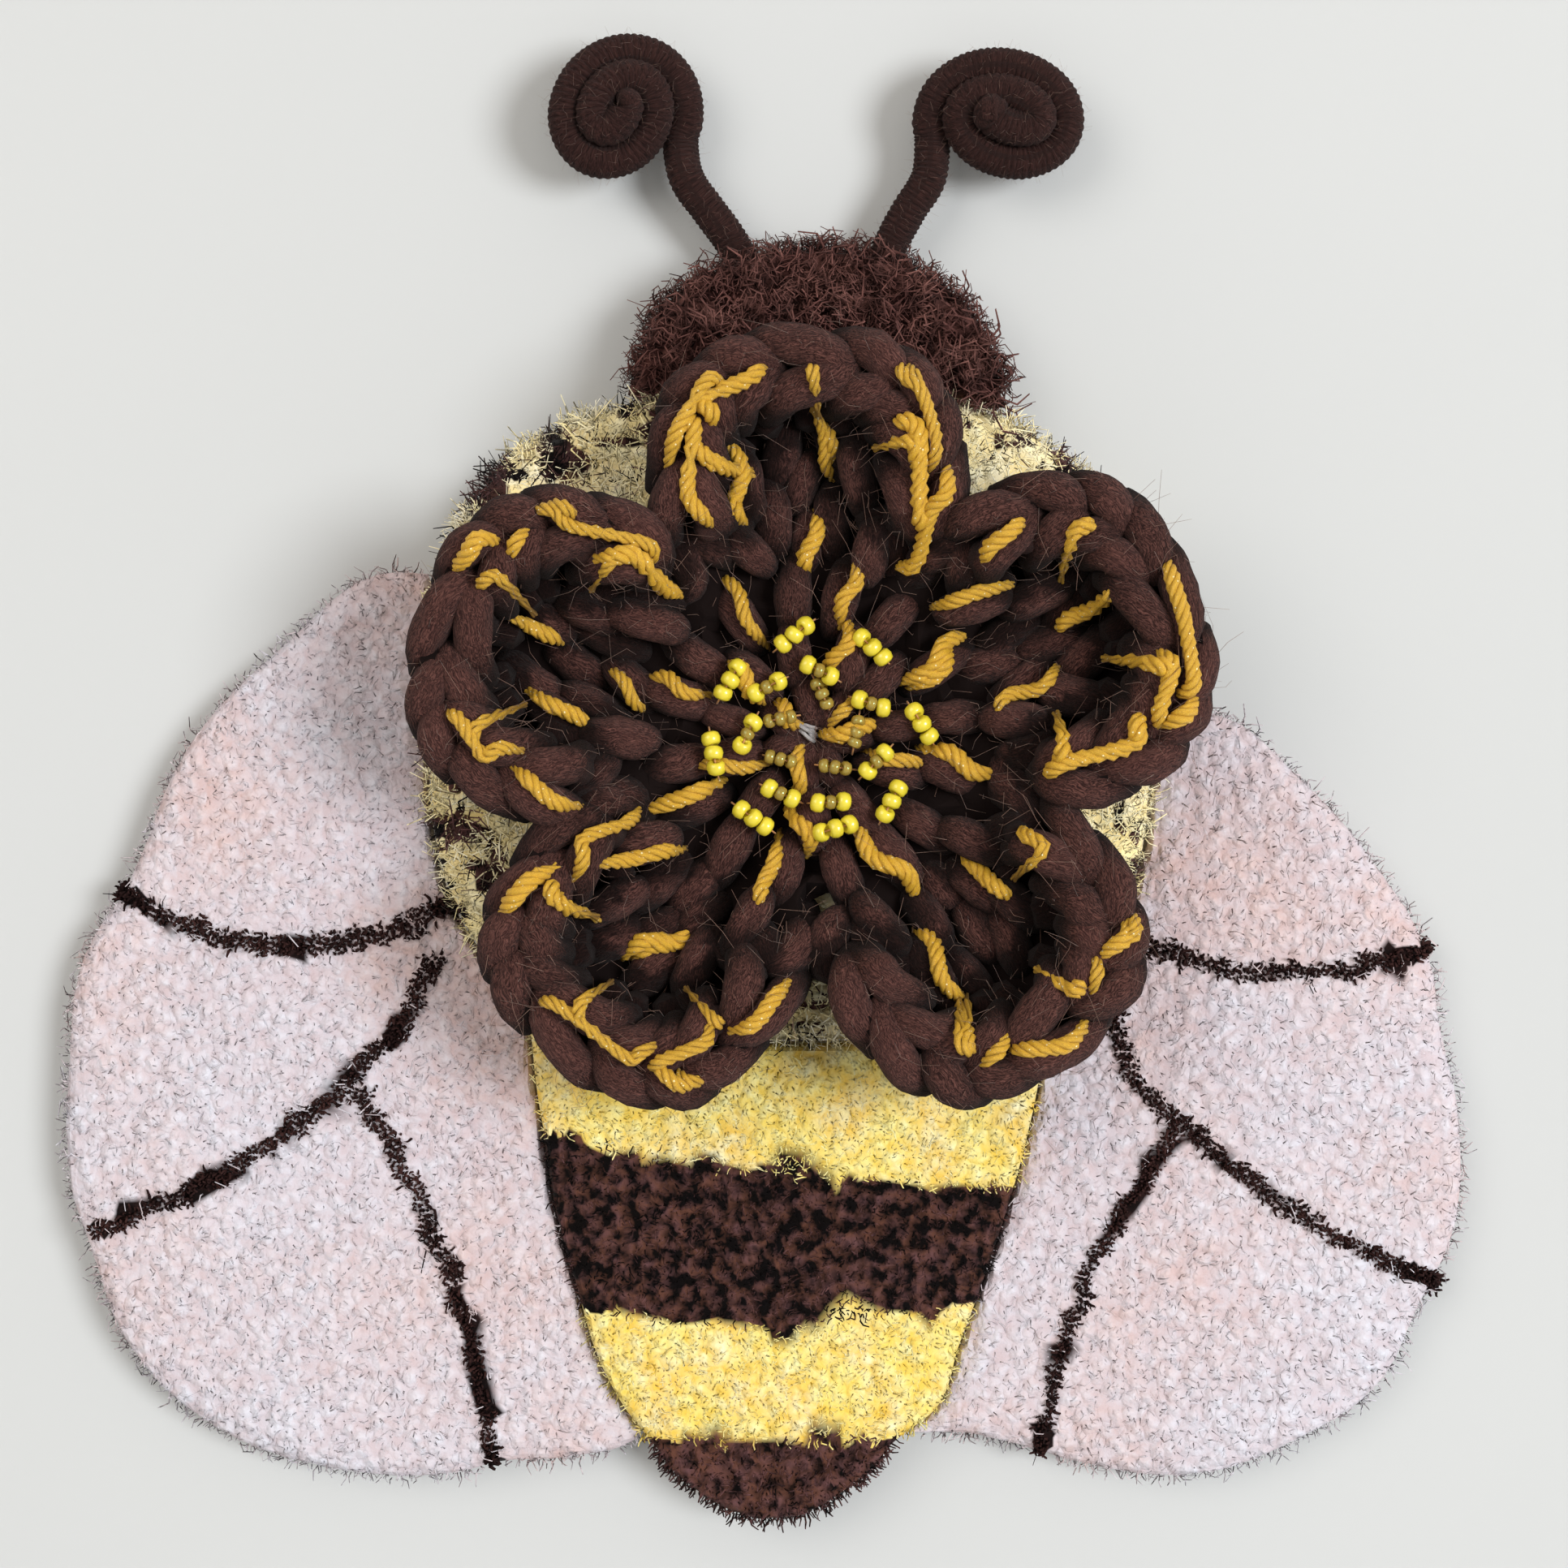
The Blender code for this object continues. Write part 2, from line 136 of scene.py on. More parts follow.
def newFinish(name):
    # a material, its tree, its shader and the object's own coordinates
    made = bpy.data.materials.new(name)
    made.use_nodes = True
    tree = made.node_tree
    return made, tree, tree.nodes["Principled BSDF"].inputs, put(tree, "ShaderNodeTexCoord").outputs["Object"]


def newMesh(name, verts, faces, attributes=None, smooth=True):
    mesh = bpy.data.meshes.new(name)
    mesh.from_pydata([tuple(v) for v in verts], [], [tuple(f) for f in faces])
    for key, values in (attributes or {}).items():
        values = np.asarray(values, dtype=np.float32)
        kind = "FLOAT" if values.ndim == 1 else "FLOAT_VECTOR"
        layer = mesh.attributes.new(key, kind, "POINT")
        layer.data.foreach_set("value" if kind == "FLOAT" else "vector", values.ravel())
    mesh.update()
    if smooth:
        mesh.shade_smooth()
    made = bpy.data.objects.new(name, mesh)
    bpy.context.scene.collection.objects.link(made)
    return made


def plainMesh(obj, name):
    # the evaluated shape as a mesh of its own
    graph = bpy.context.evaluated_depsgraph_get()
    mesh = bpy.data.meshes.new_from_object(obj.evaluated_get(graph), preserve_all_data_layers=True,
                                           depsgraph=graph)
    mesh.name = name
    made = bpy.data.objects.new(name, mesh)
    bpy.context.scene.collection.objects.link(made)
    return made


def drop(*objects):
    for old in objects:
        bpy.data.objects.remove(old)


def rideRoot(obj, nodes=()):
    if nodes:
        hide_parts(*nodes)
    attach(obj, "root")
    return obj


def fibreGroup():
    # fine fibres: a noise stretched along a given vector
    tree, given, out = newGroup("fibreMask", "ShaderNodeTree", (("Mask", "Float"),),
                                (("Vector", "Vector", None), ("Scale", "Float", 900.0)))
    fine = put(tree, "ShaderNodeTexNoise",
               {"Vector": given["Vector"], "Scale": given["Scale"], "Detail": 3.0, "Roughness": 0.65})
    fill(tree, out, {"Mask": fine.outputs["Fac"]})
    return tree


def clumpGroup():
    # soft clumps of pile seen from the front: a shade for each, and a dome that falls off at its edge
    tree, given, out = newGroup("pileClumps", "ShaderNodeTree", (("Shade", "Float"), ("Dome", "Float")),
                                (("Vector", "Vector", None), ("Scale", "Float", 520.0)))
    flat = vectorOf(tree, "MULTIPLY", given["Vector"], (1.0, 0.25, 1.0))
    swirl = vectorOf(tree, "SUBTRACT", noiseOf(tree, flat, given["Scale"], 2.0)["Color"], (0.5, 0.5, 0.5))
    bent = vectorOf(tree, "ADD", flat, vectorOf(tree, "SCALE", swirl, 0.0022))
    cells = put(tree, "ShaderNodeTexVoronoi", {"Vector": bent, "Scale": given["Scale"]}).outputs["Distance"]
    blotch = noiseOf(tree, bent, given["Scale"], 2.5)["Fac"]
    fill(tree, out, {"Shade": between(tree, blotch, 0.36, 0.64), "Dome": between(tree, cells, 0.75, 0.1)})
    return tree


fibreMask = fibreGroup()
pileClumps = clumpGroup()


def pileFinish(name, look):
    # cut pile: a shade for each clump, patches that drift over the cloth, a second yarn where "band" says
    made, tree, shader, coords = newFinish(name)
    clump = grouped(tree, pileClumps, coords, look["clump"])
    tint = put(tree, "ShaderNodeMix", {0: look["clumped"], 2: stored(tree, "tint"), 3: clump["Shade"]},
               data_type="FLOAT").outputs[0]
    patch = between(tree, noiseOf(tree, coords, look["patch"], 2.0)["Fac"], 0.38, 0.64)
    first = mixColour(tree, patch, mixColour(tree, tint, look["pale"], look["deep"]),
                      mixColour(tree, tint, look["patchPale"], look["patchDeep"]))
    second = mixColour(tree, between(tree, tint, 0.3, 0.85), look["band"], look["bandPale"])
    yarns = mixColour(tree, between(tree, stored(tree, "band"), 0.4, 0.6), first, second)
    # painted shade: the colour is darkened towards "root" between clumps and at the strands' roots
    height = mathOf(tree, "MAXIMUM", clump["Dome"], stored(tree, "rise"))
    paintedRootShade = mixColour(tree, height, look["root"], (1.0, 1.0, 1.0, 1.0))
    # strands are lit partly as the cloth under them is, which keeps the pile soft
    cloth = vectorOf(tree, "SCALE", stored(tree, "lay", "Vector"), look["soft"])
    strandOwn = vectorOf(tree, "SCALE", put(tree, "ShaderNodeNewGeometry").outputs["Normal"], 1.0 - look["soft"])
    eased = put(tree, "ShaderNodeVectorMath", {0: vectorOf(tree, "ADD", cloth, strandOwn)}, operation="NORMALIZE")
    domes = bumped(tree, clump["Dome"], look["lumpy"], 0.0009, eased.outputs[0])
    fibres = bumped(tree, grouped(tree, fibreMask, coords, 1900.0)["Mask"], 0.35, 0.0004, domes)
    fill(tree, shader, {
        "Base Color": mixColour(tree, 1.0, yarns, paintedRootShade, blend_type="MULTIPLY"), "Normal": fibres,
        "Roughness": 0.95, "Specular IOR Level": 0.1, "Sheen Weight": look["sheen"], "Sheen Roughness": 0.5,
    })
    return made


def yarnFinish(name, look):
    # spun yarn: paler streaks run along the "fibre" vector and fade in the grooves; "tint" takes the colour from
    # "dark" to "mid", partly the yarn's own tone and partly painted shade where the grooves lower it
    made, tree, shader, coords = newFinish(name)
    tint = stored(tree, "tint")
    drift = vectorOf(tree, "SUBTRACT", noiseOf(tree, coords, 300.0, 2.0)["Color"], (0.5, 0.5, 0.5))
    bent = vectorOf(tree, "ADD", stored(tree, "fibre", "Vector"), vectorOf(tree, "SCALE", drift, look["wander"]))
    streak = grouped(tree, fibreMask, bent, look["scale"])["Mask"]
    grooveShadeFade = put(tree, "ShaderNodeMapRange", {"Value": tint, "From Max": 0.5, "To Min": look.get("grooved", 1.0)})
    share = mathOf(tree, "MULTIPLY", between(tree, streak, 0.42, 0.70), grooveShadeFade.outputs[0])
    colour = mixColour(tree, share, mixColour(tree, tint, look["dark"], look["mid"]), look["light"])
    if "fleck" in look:
        dots = put(tree, "ShaderNodeTexVoronoi", {"Vector": coords, "Scale": 900.0}).outputs["Distance"]
        metal = between(tree, dots, 0.16, 0.1)
        colour = mixColour(tree, metal, colour, look["fleck"])
        fill(tree, shader, {"Metallic": metal})
    fill(tree, shader, {
        "Base Color": colour, "Normal": bumped(tree, streak, look["bump"], 0.0005),
        "Roughness": look["roughness"], "Specular IOR Level": look.get("shine", 0.12),
        "Sheen Weight": look["sheen"], "Sheen Roughness": 0.35,
    })
    return made


def clothFinish(name, pale, deep):
    # plain tufting cloth: two crossing waves of thread, with slubs
    made, tree, shader, coords = newFinish(name)
    warp, weft = [put(tree, "ShaderNodeTexWave", {"Vector": coords, "Scale": 380.0, "Distortion": 0.6},
                      bands_direction=way).outputs["Fac"] for way in "XZ"]
    both = mathOf(tree, "MAXIMUM", warp, weft)
    thread = mixColour(tree, noiseOf(tree, coords, 120.0, 4.0)["Fac"], deep, pale)
    fill(tree, shader, {
        "Base Color": mixColour(tree, both, deep, thread), "Normal": bumped(tree, both, 0.6, 0.0004),
        "Roughness": 0.95, "Sheen Weight": 0.2,
    })
    return made


brown = {"band": (0.0026, 0.0016, 0.0020, 1), "bandPale": (0.118, 0.055, 0.057, 1)}
# each look's "root" is a painted shade colour, reached between clumps and at the strands' roots
pinkPile = pileFinish("pinkPile", {
    "pale": (0.645, 0.655, 0.725, 1), "deep": (0.585, 0.495, 0.52, 1), "patchPale": (0.64, 0.60, 0.645, 1),
    "patchDeep": (0.61, 0.445, 0.415, 1), "patch": 30.0, "root": (0.89, 0.84, 0.84, 1), "sheen": 0.05,
    "clump": 440.0, "clumped": 0.5, "lumpy": 0.65, "soft": 0.65, "band": (0.006, 0.003, 0.003, 1),
    "bandPale": (0.030, 0.013, 0.012, 1),
})
yellowPile = pileFinish("yellowPile", {
    "pale": (0.84, 0.82, 0.44, 1), "deep": (0.80, 0.61, 0.10, 1), "patchPale": (0.86, 0.85, 0.62, 1),
    "patchDeep": (0.79, 0.54, 0.06, 1), "patch": 120.0, "root": (0.96, 0.84, 0.55, 1), "sheen": 0.03,
    "clump": 420.0, "clumped": 0.6, "lumpy": 0.6, "soft": 0.7, **brown,
})
creamPile = pileFinish("creamPile", {
    "pale": (1.0, 0.96, 0.70, 1), "deep": (1.0, 0.87, 0.44, 1), "patchPale": (1.0, 0.98, 0.84, 1),
    "patchDeep": (1.0, 0.88, 0.50, 1), "patch": 80.0, "root": (0.93, 0.82, 0.60, 1), "sheen": 0.1,
    "clump": 260.0, "clumped": 0.4, "lumpy": 0.8, "soft": 0.65, **brown,
})
brownPile = pileFinish("brownPile", {
    "pale": (0.018, 0.0070, 0.0062, 1), "deep": (0.205, 0.088, 0.076, 1), "patchPale": (0.036, 0.014, 0.0125, 1),
    "patchDeep": (0.30, 0.138, 0.116, 1), "patch": 160.0, "root": (0.26, 0.20, 0.20, 1), "sheen": 0.05,
    "clump": 300.0, "clumped": 0.5, "lumpy": 1.0, "soft": 0.5, **brown,
})
veinPile = pileFinish("veinPile", {
    "pale": (0.010, 0.0050, 0.0050, 1), "deep": (0.042, 0.0180, 0.0165, 1), "patchPale": (0.014, 0.0065, 0.0065, 1),
    "patchDeep": (0.085, 0.036, 0.032, 1), "patch": 110.0, "root": (0.45, 0.40, 0.40, 1), "sheen": 0.0,
    "clump": 700.0, "clumped": 0.4, "lumpy": 0.6, "soft": 0.5, "band": (0.010, 0.005, 0.005, 1),
    "bandPale": (0.042, 0.018, 0.0165, 1),
})
rovingYarn = yarnFinish("rovingYarn", {
    "dark": (0.0045, 0.0018, 0.0016, 1), "mid": (0.038, 0.0148, 0.0132, 1), "light": (0.155, 0.066, 0.054, 1),
    "scale": 4.6, "bump": 1.0, "roughness": 0.9, "sheen": 0.03, "wander": 2.6, "grooved": 0.06,
})
# near black all over: painted shade for the yarn deep in the flower, seen only between the stitches
deepYarn = yarnFinish("deepYarn", {
    "dark": (0.004, 0.002, 0.002, 1), "mid": (0.006, 0.003, 0.003, 1), "light": (0.010, 0.005, 0.004, 1),
    "scale": 1.3, "bump": 0.6, "roughness": 0.95, "sheen": 0.0, "wander": 0.0,
})
goldYarn = yarnFinish("goldYarn", {
    "dark": (0.115, 0.046, 0.002, 1), "mid": (0.50, 0.25, 0.009, 1), "light": (0.90, 0.58, 0.052, 1),
    "fleck": (1.0, 0.93, 0.60, 1), "scale": 4.0, "bump": 0.5, "roughness": 0.42, "sheen": 0.05, "shine": 0.5,
    "wander": 0.3, "grooved": 0.3,
})
wrapYarn = yarnFinish("wrapYarn", {
    "dark": (0.007, 0.0028, 0.0025, 1), "mid": (0.020, 0.0080, 0.0070, 1), "light": (0.062, 0.026, 0.022, 1),
    "scale": 3.4, "bump": 0.9, "roughness": 0.85, "sheen": 0.03, "wander": 0.4,
})
backCloth = clothFinish("backCloth", (0.80, 0.76, 0.68, 1), (0.55, 0.50, 0.42, 1))
print("finishes made")


tufts = bpy.data.collections.new("tuftShapes")
bpy.context.scene.collection.children.link(tufts)


def strand(root, way, length, width, bend, rings, verts, faces, rise, curl=0.0):
    # one closed strand of three sides with a blunt end, bent and, for shag, curled
    side = way.orthogonal().normalized()
    other = way.cross(side)
    start = len(verts)
    for ring in range(rings):
        t = ring / (rings - 1)
        centre = root + way * (length * t) + bend * (length * t * t)
        centre += (side * math.sin(3.6 * t) + other * (1 - math.cos(3.6 * t))) * (curl * length)
        radius = width * (1.0 - 0.3 * t * t)
        for corner in range(3):
            angle = 2 * math.pi * corner / 3 + t
            verts.append(centre + side * (radius * math.cos(angle)) + other * (radius * math.sin(angle)))
            rise.append(t)
    verts.append(centre + way * width * 0.6 + bend * width)
    rise.append(1.0)
    tip = len(verts) - 1
    faces.append((start + 2, start + 1, start))
    for ring in range(rings - 1):
        for corner in range(3):
            a, b = start + ring * 3 + corner, start + ring * 3 + (corner + 1) % 3
            faces.append((a, b, b + 3, a + 3))
    last = start + (rings - 1) * 3
    for corner in range(3):
        faces.append((last + corner, last + (corner + 1) % 3, tip))


def tuftShapes(name, look):
    # a few variants of one tuft, kept in their own collection for the trees to pick from
    chance = random.Random(look["seed"])
    group = bpy.data.collections.new(name)
    tufts.children.link(group)
    for variant in range(look["variants"]):
        verts, faces, rise = [], [], []
        for count in range(look["strands"]):
            around = 2 * math.pi * (count + chance.random() * 0.7) / look["strands"]
            lean = look["splay"] * chance.uniform(0.3, 1.0)
            way = Vector((math.cos(around) * lean, math.sin(around) * lean, 1.0)).normalized()
            bend = Vector((chance.uniform(-1, 1), chance.uniform(-1, 1), chance.uniform(-0.3, 0.1)))
            bend *= look["bend"]
            root = Vector((math.cos(around), math.sin(around), 0.0)) * look["foot"] * mm
            length = look["length"] * chance.uniform(0.75, 1.15) * mm
            curl = look.get("curl", 0.0) * chance.choice((-1, 1))
            strand(root, way, length, look["width"] * mm, bend, look["rings"], verts, faces, rise, curl)
        made = newMesh("{}_{}".format(name, variant), verts, faces, {"rise": rise})
        bpy.context.scene.collection.objects.unlink(made)
        group.objects.link(made)
    return group


def pileTree():
    # plants tufts over a bed, by its "grow", "tall" and "tint"
    tree, given, out = newGroup("pileOnCloth", "GeometryNodeTree", (("Geometry", "Geometry"),), (
        ("Geometry", "Geometry", None), ("Tufts", "Collection", None), ("Spacing", "Float", 0.0015),
        ("Density", "Float", 400000.0), ("Lean", "Float", 0.4), ("Shortest", "Float", 0.8),
        ("Longest", "Float", 1.15), ("Mixed", "Float", 0.6), ("Seed", "Int", 1), ("Finish", "Material", None),
    ))

    def named(key):
        return put(tree, "GeometryNodeInputNamedAttribute", {"Name": key}, data_type="FLOAT").outputs["Attribute"]

    def store(geometry, key, value, kind):
        return put(tree, "GeometryNodeStoreNamedAttribute", {"Geometry": geometry, "Name": key, "Value": value},
                   data_type=kind, domain="POINT").outputs["Geometry"]

    def chanceOf(low, high, seed, kind="FLOAT"):
        first, result = (2, 1) if kind == "FLOAT" else (0, 0)
        return put(tree, "FunctionNodeRandomValue", {first: low, first + 1: high, "Seed": seed},
                   data_type=kind).outputs[result]

    spread = put(tree, "GeometryNodeDistributePointsOnFaces", {
        "Mesh": given["Geometry"], "Distance Min": given["Spacing"], "Density Max": given["Density"],
        "Density Factor": named("grow"), "Seed": given["Seed"],
    }, distribute_method="POISSON").outputs
    mixed = mathOf(tree, "MULTIPLY", chanceOf(-0.5, 0.5, 5), given["Mixed"])
    shade = mathOf(tree, "ADD", named("tint"), mixed, use_clamp=True)
    tinted = store(spread["Points"], "tint", shade, "FLOAT")
    laid = store(tinted, "lay", spread["Normal"], "FLOAT_VECTOR")
    stray = chanceOf((-1.0, -1.0, -1.0), (1.0, 1.0, 1.0), 7, "FLOAT_VECTOR")
    way = vectorOf(tree, "ADD", vectorOf(tree, "SCALE", stray, given["Lean"]), spread["Normal"])
    spin = chanceOf((0.0, 0.0, 0.0), (0.0, 0.0, 6.2832), 9, "FLOAT_VECTOR")
    turned = put(tree, "FunctionNodeAlignRotationToVector", {"Rotation": spin, "Vector": way}, axis="Z")
    sized = mathOf(tree, "MULTIPLY", chanceOf(given["Shortest"], given["Longest"], 11), named("tall"))
    shapes = put(tree, "GeometryNodeCollectionInfo",
                 {"Collection": given["Tufts"], "Separate Children": True, "Reset Children": True})
    placed = put(tree, "GeometryNodeInstanceOnPoints", {
        "Points": laid, "Instance": shapes.outputs[0], "Pick Instance": True,
        "Rotation": turned.outputs["Rotation"], "Scale": sized,
    })
    real = put(tree, "GeometryNodeRealizeInstances", {"Geometry": placed.outputs["Instances"]})
    dressed = put(tree, "GeometryNodeSetMaterial",
                  {"Geometry": real.outputs["Geometry"], "Material": given["Finish"]})
    fill(tree, out, {"Geometry": dressed.outputs["Geometry"]})
    return tree


pileOnCloth = pileTree()


def grow(name, bed, look, shapes, finish):
    # runs the tree on the bed and keeps the strands as one mesh
    modifier = bed.modifiers.new("pile", "NODES")
    modifier.node_group = pileOnCloth
    values = {"Tufts": shapes, "Spacing": look["spacing"] * mm, "Density": look.get("density", 9.0) * 1e6,
              "Lean": look["lean"], "Shortest": look["shortest"], "Longest": look["longest"],
              "Mixed": look.get("mixed", 0.6), "Seed": look["seed"], "Finish": finish}
    for item in pileOnCloth.interface.items_tree:
        if item.in_out == "INPUT" and item.name in values:
            modifier[item.identifier] = values[item.name]
    made = plainMesh(bed, name)
    bed.modifiers.remove(modifier)
    offWall(made)
    print(name, len(made.data.polygons), "faces")
    return made


def offWall(made, near=0.6 * mm):
    # what would reach through the wall is flattened just in front of it
    places = np.empty(len(made.data.vertices) * 3, dtype=np.float32)
    made.data.vertices.foreach_get("co", places)
    y = places[1::3]
    over = y > -near
    y[over] = -near + 0.8 * near * (1.0 - np.exp(-(y[over] + near) / (0.8 * near)))
    made.data.vertices.foreach_set("co", places)
    made.data.update()


panelNodes = ("head", "thorax", "abdomen", "wing_left", "wing_right")
graph = bpy.context.evaluated_depsgraph_get()
nodeTrees = {node: BVHTree.FromObject(frame["nodes"][node], graph) for node in panelNodes}


def apart(node, place, reach):
    # how far the nearest other panel is, as a share of the reach
    best = reach
    for other, tree in nodeTrees.items():
        if other != node:
            found = tree.find_nearest(place, reach)
            if found[0] is not None:
                best = min(best, found[3])
    return best / reach


def bedOf(node, look):
    # the node's own shape, evened out and set back by the pile's length, less where another panel adjoins
    source = frame["nodes"][node]
    bm = bmesh.new()
    bm.from_mesh(source.data)
    bmesh.ops.remove_doubles(bm, verts=bm.verts, dist=1e-6)
    mesh = bpy.data.meshes.new(node + "_bed")
    bm.to_mesh(mesh)
    bm.free()
    made = bpy.data.objects.new(node + "_bed", mesh)
    bpy.context.scene.collection.objects.link(made)
    remesh = made.modifiers.new("even", "REMESH")
    remesh.mode, remesh.voxel_size = "VOXEL", look["voxel"] * mm
    soften = made.modifiers.new("soften", "SMOOTH")
    soften.factor, soften.iterations = 0.5, 3
    bed = plainMesh(made, node + "_core")
    drop(made)
    shifts = []
    for v in bed.data.vertices:
        side = apart(node, v.co, 4.0 * mm) if node in panelNodes and v.normal.y > -0.8 else 1.0
        shifts.append(v.normal * (-look["inset"] * mm * side))
    for v, shift in zip(bed.data.vertices, shifts):
        v.co += shift
        v.co.y = min(v.co.y, -0.9 * mm)
    bed.data.update()
    return bed


def paint(bed, rules):
    # per-point values from the point's place and normal, in millimetres
    for key, rule in rules.items():
        layer = bed.data.attributes.new(key, "FLOAT", "POINT")
        for v, value in zip(bed.data.vertices, layer.data):
            value.value = rule(v.co / mm, v.normal)


def thin(bed, share):
    # the shown core needs fewer faces than the one that the pile is planted on
    fewer = bed.modifiers.new("fewer", "DECIMATE")
    fewer.ratio = share
    made = plainMesh(bed, bed.name + "_shown")
    drop(bed)
    return made


def backingOf(name, node, thickness=0.8):
    # the tufted cloth itself: a thin flat sheet with the panel's back outline
    bm = bmesh.new()
    bm.from_mesh(frame["nodes"][node].data)
    bmesh.ops.remove_doubles(bm, verts=bm.verts, dist=1e-6)
    rest = [f for f in bm.faces if f.normal.y < 0.95 or f.calc_center_median().y < -0.5 * mm]
    bmesh.ops.delete(bm, geom=rest, context="FACES")
    area = sum(f.calc_area() for f in bm.faces)
    bmesh.ops.dissolve_limit(bm, angle_limit=0.02, verts=bm.verts, edges=bm.edges)
    bmesh.ops.triangulate(bm, faces=bm.faces)
    mesh = bpy.data.meshes.new(name)
    bm.to_mesh(mesh)
    bm.free()
    cloth = bpy.data.objects.new(name, mesh)
    bpy.context.scene.collection.objects.link(cloth)
    solid = cloth.modifiers.new("thickness", "SOLIDIFY")
    solid.thickness, solid.offset = thickness * mm, -1.0
    made = plainMesh(cloth, name)
    drop(cloth)
    made.name = name
    made.data.materials.clear()
    made.data.materials.append(backCloth)
    low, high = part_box(node)
    return made, area, (high[0] - low[0], high[2] - low[2])


def fromFlower(p):
    return math.hypot(p.x - flowerSizes["x"], p.z - flowerSizes["z"])


flowerTree = BVHTree.FromObject(frame["nodes"]["flower"], bpy.context.evaluated_depsgraph_get())


def shows(p, margin=3.2):
    # false where the flower hides the cloth from every side near this place
    for dx, dz in ((0, 0), (margin, 0), (-margin, 0), (0, margin), (0, -margin)):
        if not flowerTree.ray_cast(Vector((p.x + dx, -90.0, p.z + dz)) * mm, Vector((0, 1, 0)))[0]:
            return True
    return False


def facing(node, p, n):
    # pile grows on the front and round the free rim, sparser low on it,
    # and not on the back or against another panel
    if n.y > 0.8 or p.y > -1.7:
        return 0.0
    free = apart(node, p * mm, 3.0 * mm) > 0.99
    if n.y > 0.35 or p.y > -2.2 or not shows(p):
        return 0.42 if n.y > -0.6 and free else 0.0
    return 1.0 if n.y < -0.25 or free else 0.0


def wobble(p, scale, seed=0.0):
    return noise.noise(Vector((p.x / scale, seed, p.z / scale)))


def bandAt(p):
    # the abdomen's stripes, each border a shallow arc that sags to one side
    x = (p.x + 2.5) / 40.0
    ragged = 0.6 * wobble(p, 2.2) + 0.9 * wobble(p, 9.0, 4.0)
    borders = ((-154.5 - 4.6 * x - 2.2 * (1 - x * x), 1), (-177.0 - 4.8 * (1 - x * x) + 0.8 * x, 0),
               (-200.2 - 1.0 * (1 - x * x), 1))
    band = 0.0
    for height, after in borders:
        if p.z + ragged < height:
            band = float(after)
    return band


def clumpAt(p, size, seed=0.0):
    # a clump's shade, from pale to deep
    return min(1.0, max(0.0, 0.5 + 0.9 * wobble(p, size, seed) + 0.35 * wobble(p, size * 3.1, seed + 5.0)))


def fleckAt(p):
    # small specks all over, larger brown tufts near the rim
    tufted = fromFlower(p) > 56 and wobble(p, 6.0, 31.0) > 0.24
    return 1.0 if tufted or wobble(p, 2.6, 8.0) > 0.31 else 0.0


def blushAt(p):
    # the wings are pinker near the body and whiter towards their edges
    outward = min(1.0, max(0.0, (math.hypot(p.x, p.z + 95.0) - 60.0) / 55.0))
    return min(1.0, max(0.0, 0.85 - 0.75 * outward + 0.55 * wobble(p, 2.6, 3.0) + 0.5 * wobble(p, 13.0, 7.0)))


veins = {
    "wing_left": (
        {"from": (-57.0, -111.0), "to": (-114.5, -109.0), "sag": 9.0, "width": 3.2},
        {"from": (-61.0, -121.0), "to": (-75.0, -141.0), "sag": 1.5, "width": 3.3},
        {"from": (-75.0, -141.0), "to": (-118.5, -166.5), "sag": 3.0, "width": 2.9},
        {"from": (-74.5, -143.0), "to": (-51.5, -206.0), "sag": 4.5, "width": 2.8},
    ),
    "wing_right": (
        {"from": (54.5, -117.5), "to": (106.5, -119.0), "sag": -5.5, "width": 2.7},
        {"from": (52.5, -126.0), "to": (63.5, -148.5), "sag": -3.5, "width": 2.9},
        {"from": (63.5, -148.5), "to": (108.5, -176.0), "sag": -2.6, "width": 2.6},
        {"from": (63.5, -149.5), "to": (40.5, -204.0), "sag": -4.5, "width": 2.3},
    ),
}


def veinPath(vein, step=0.55):
    # a gentle arc between its two ends, never quite even
    a, b = Vector(vein["from"]), Vector(vein["to"])
    along = b - a
    across = Vector((-along.y, along.x)).normalized()
    count = max(4, int(along.length / step))
    path = []
    for k in range(count + 1):
        t = k / count
        drift = 1.3 * noise.noise(Vector((a.x + 7 * t, a.y, 11 * t)))
        path.append(a + along * t + across * (vein["sag"] * 4 * t * (1 - t) + drift))
    return path


def nearVein(p, paths):
    return min((math.hypot(p.x - q.x, p.z - q.y) for path in paths for q in path), default=99.0)


coreShare = 0.3  # faces that a shown core keeps
wingLook = {"voxel": 1.7, "inset": 0.45, "spacing": 1.61, "lean": 1.5, "shortest": 0.7, "longest": 1.25,
            "slot": "pink_pile", "mixed": 0.5, "fine": True}
panels = {
    "wing_left": {**wingLook, "seed": 1},
    "wing_right": {**wingLook, "seed": 2},
    "abdomen": {"voxel": 1.5, "inset": 0.6, "spacing": 1.36, "lean": 0.9, "shortest": 0.75, "longest": 1.2,
                "seed": 3, "slot": "yellow_pile", "mixed": 0.6, "fine": True},
    "thorax": {"voxel": 1.8, "inset": 1.2, "spacing": 1.22, "lean": 1.0, "shortest": 0.75, "longest": 1.25,
               "seed": 4, "slot": "cream_shag", "mixed": 1.0, "fine": True},
    "head": {"voxel": 1.8, "inset": 1.5, "spacing": 1.3, "lean": 1.1, "shortest": 0.7, "longest": 1.3,
             "seed": 5, "slot": "brown_shag", "mixed": 0.45},
}
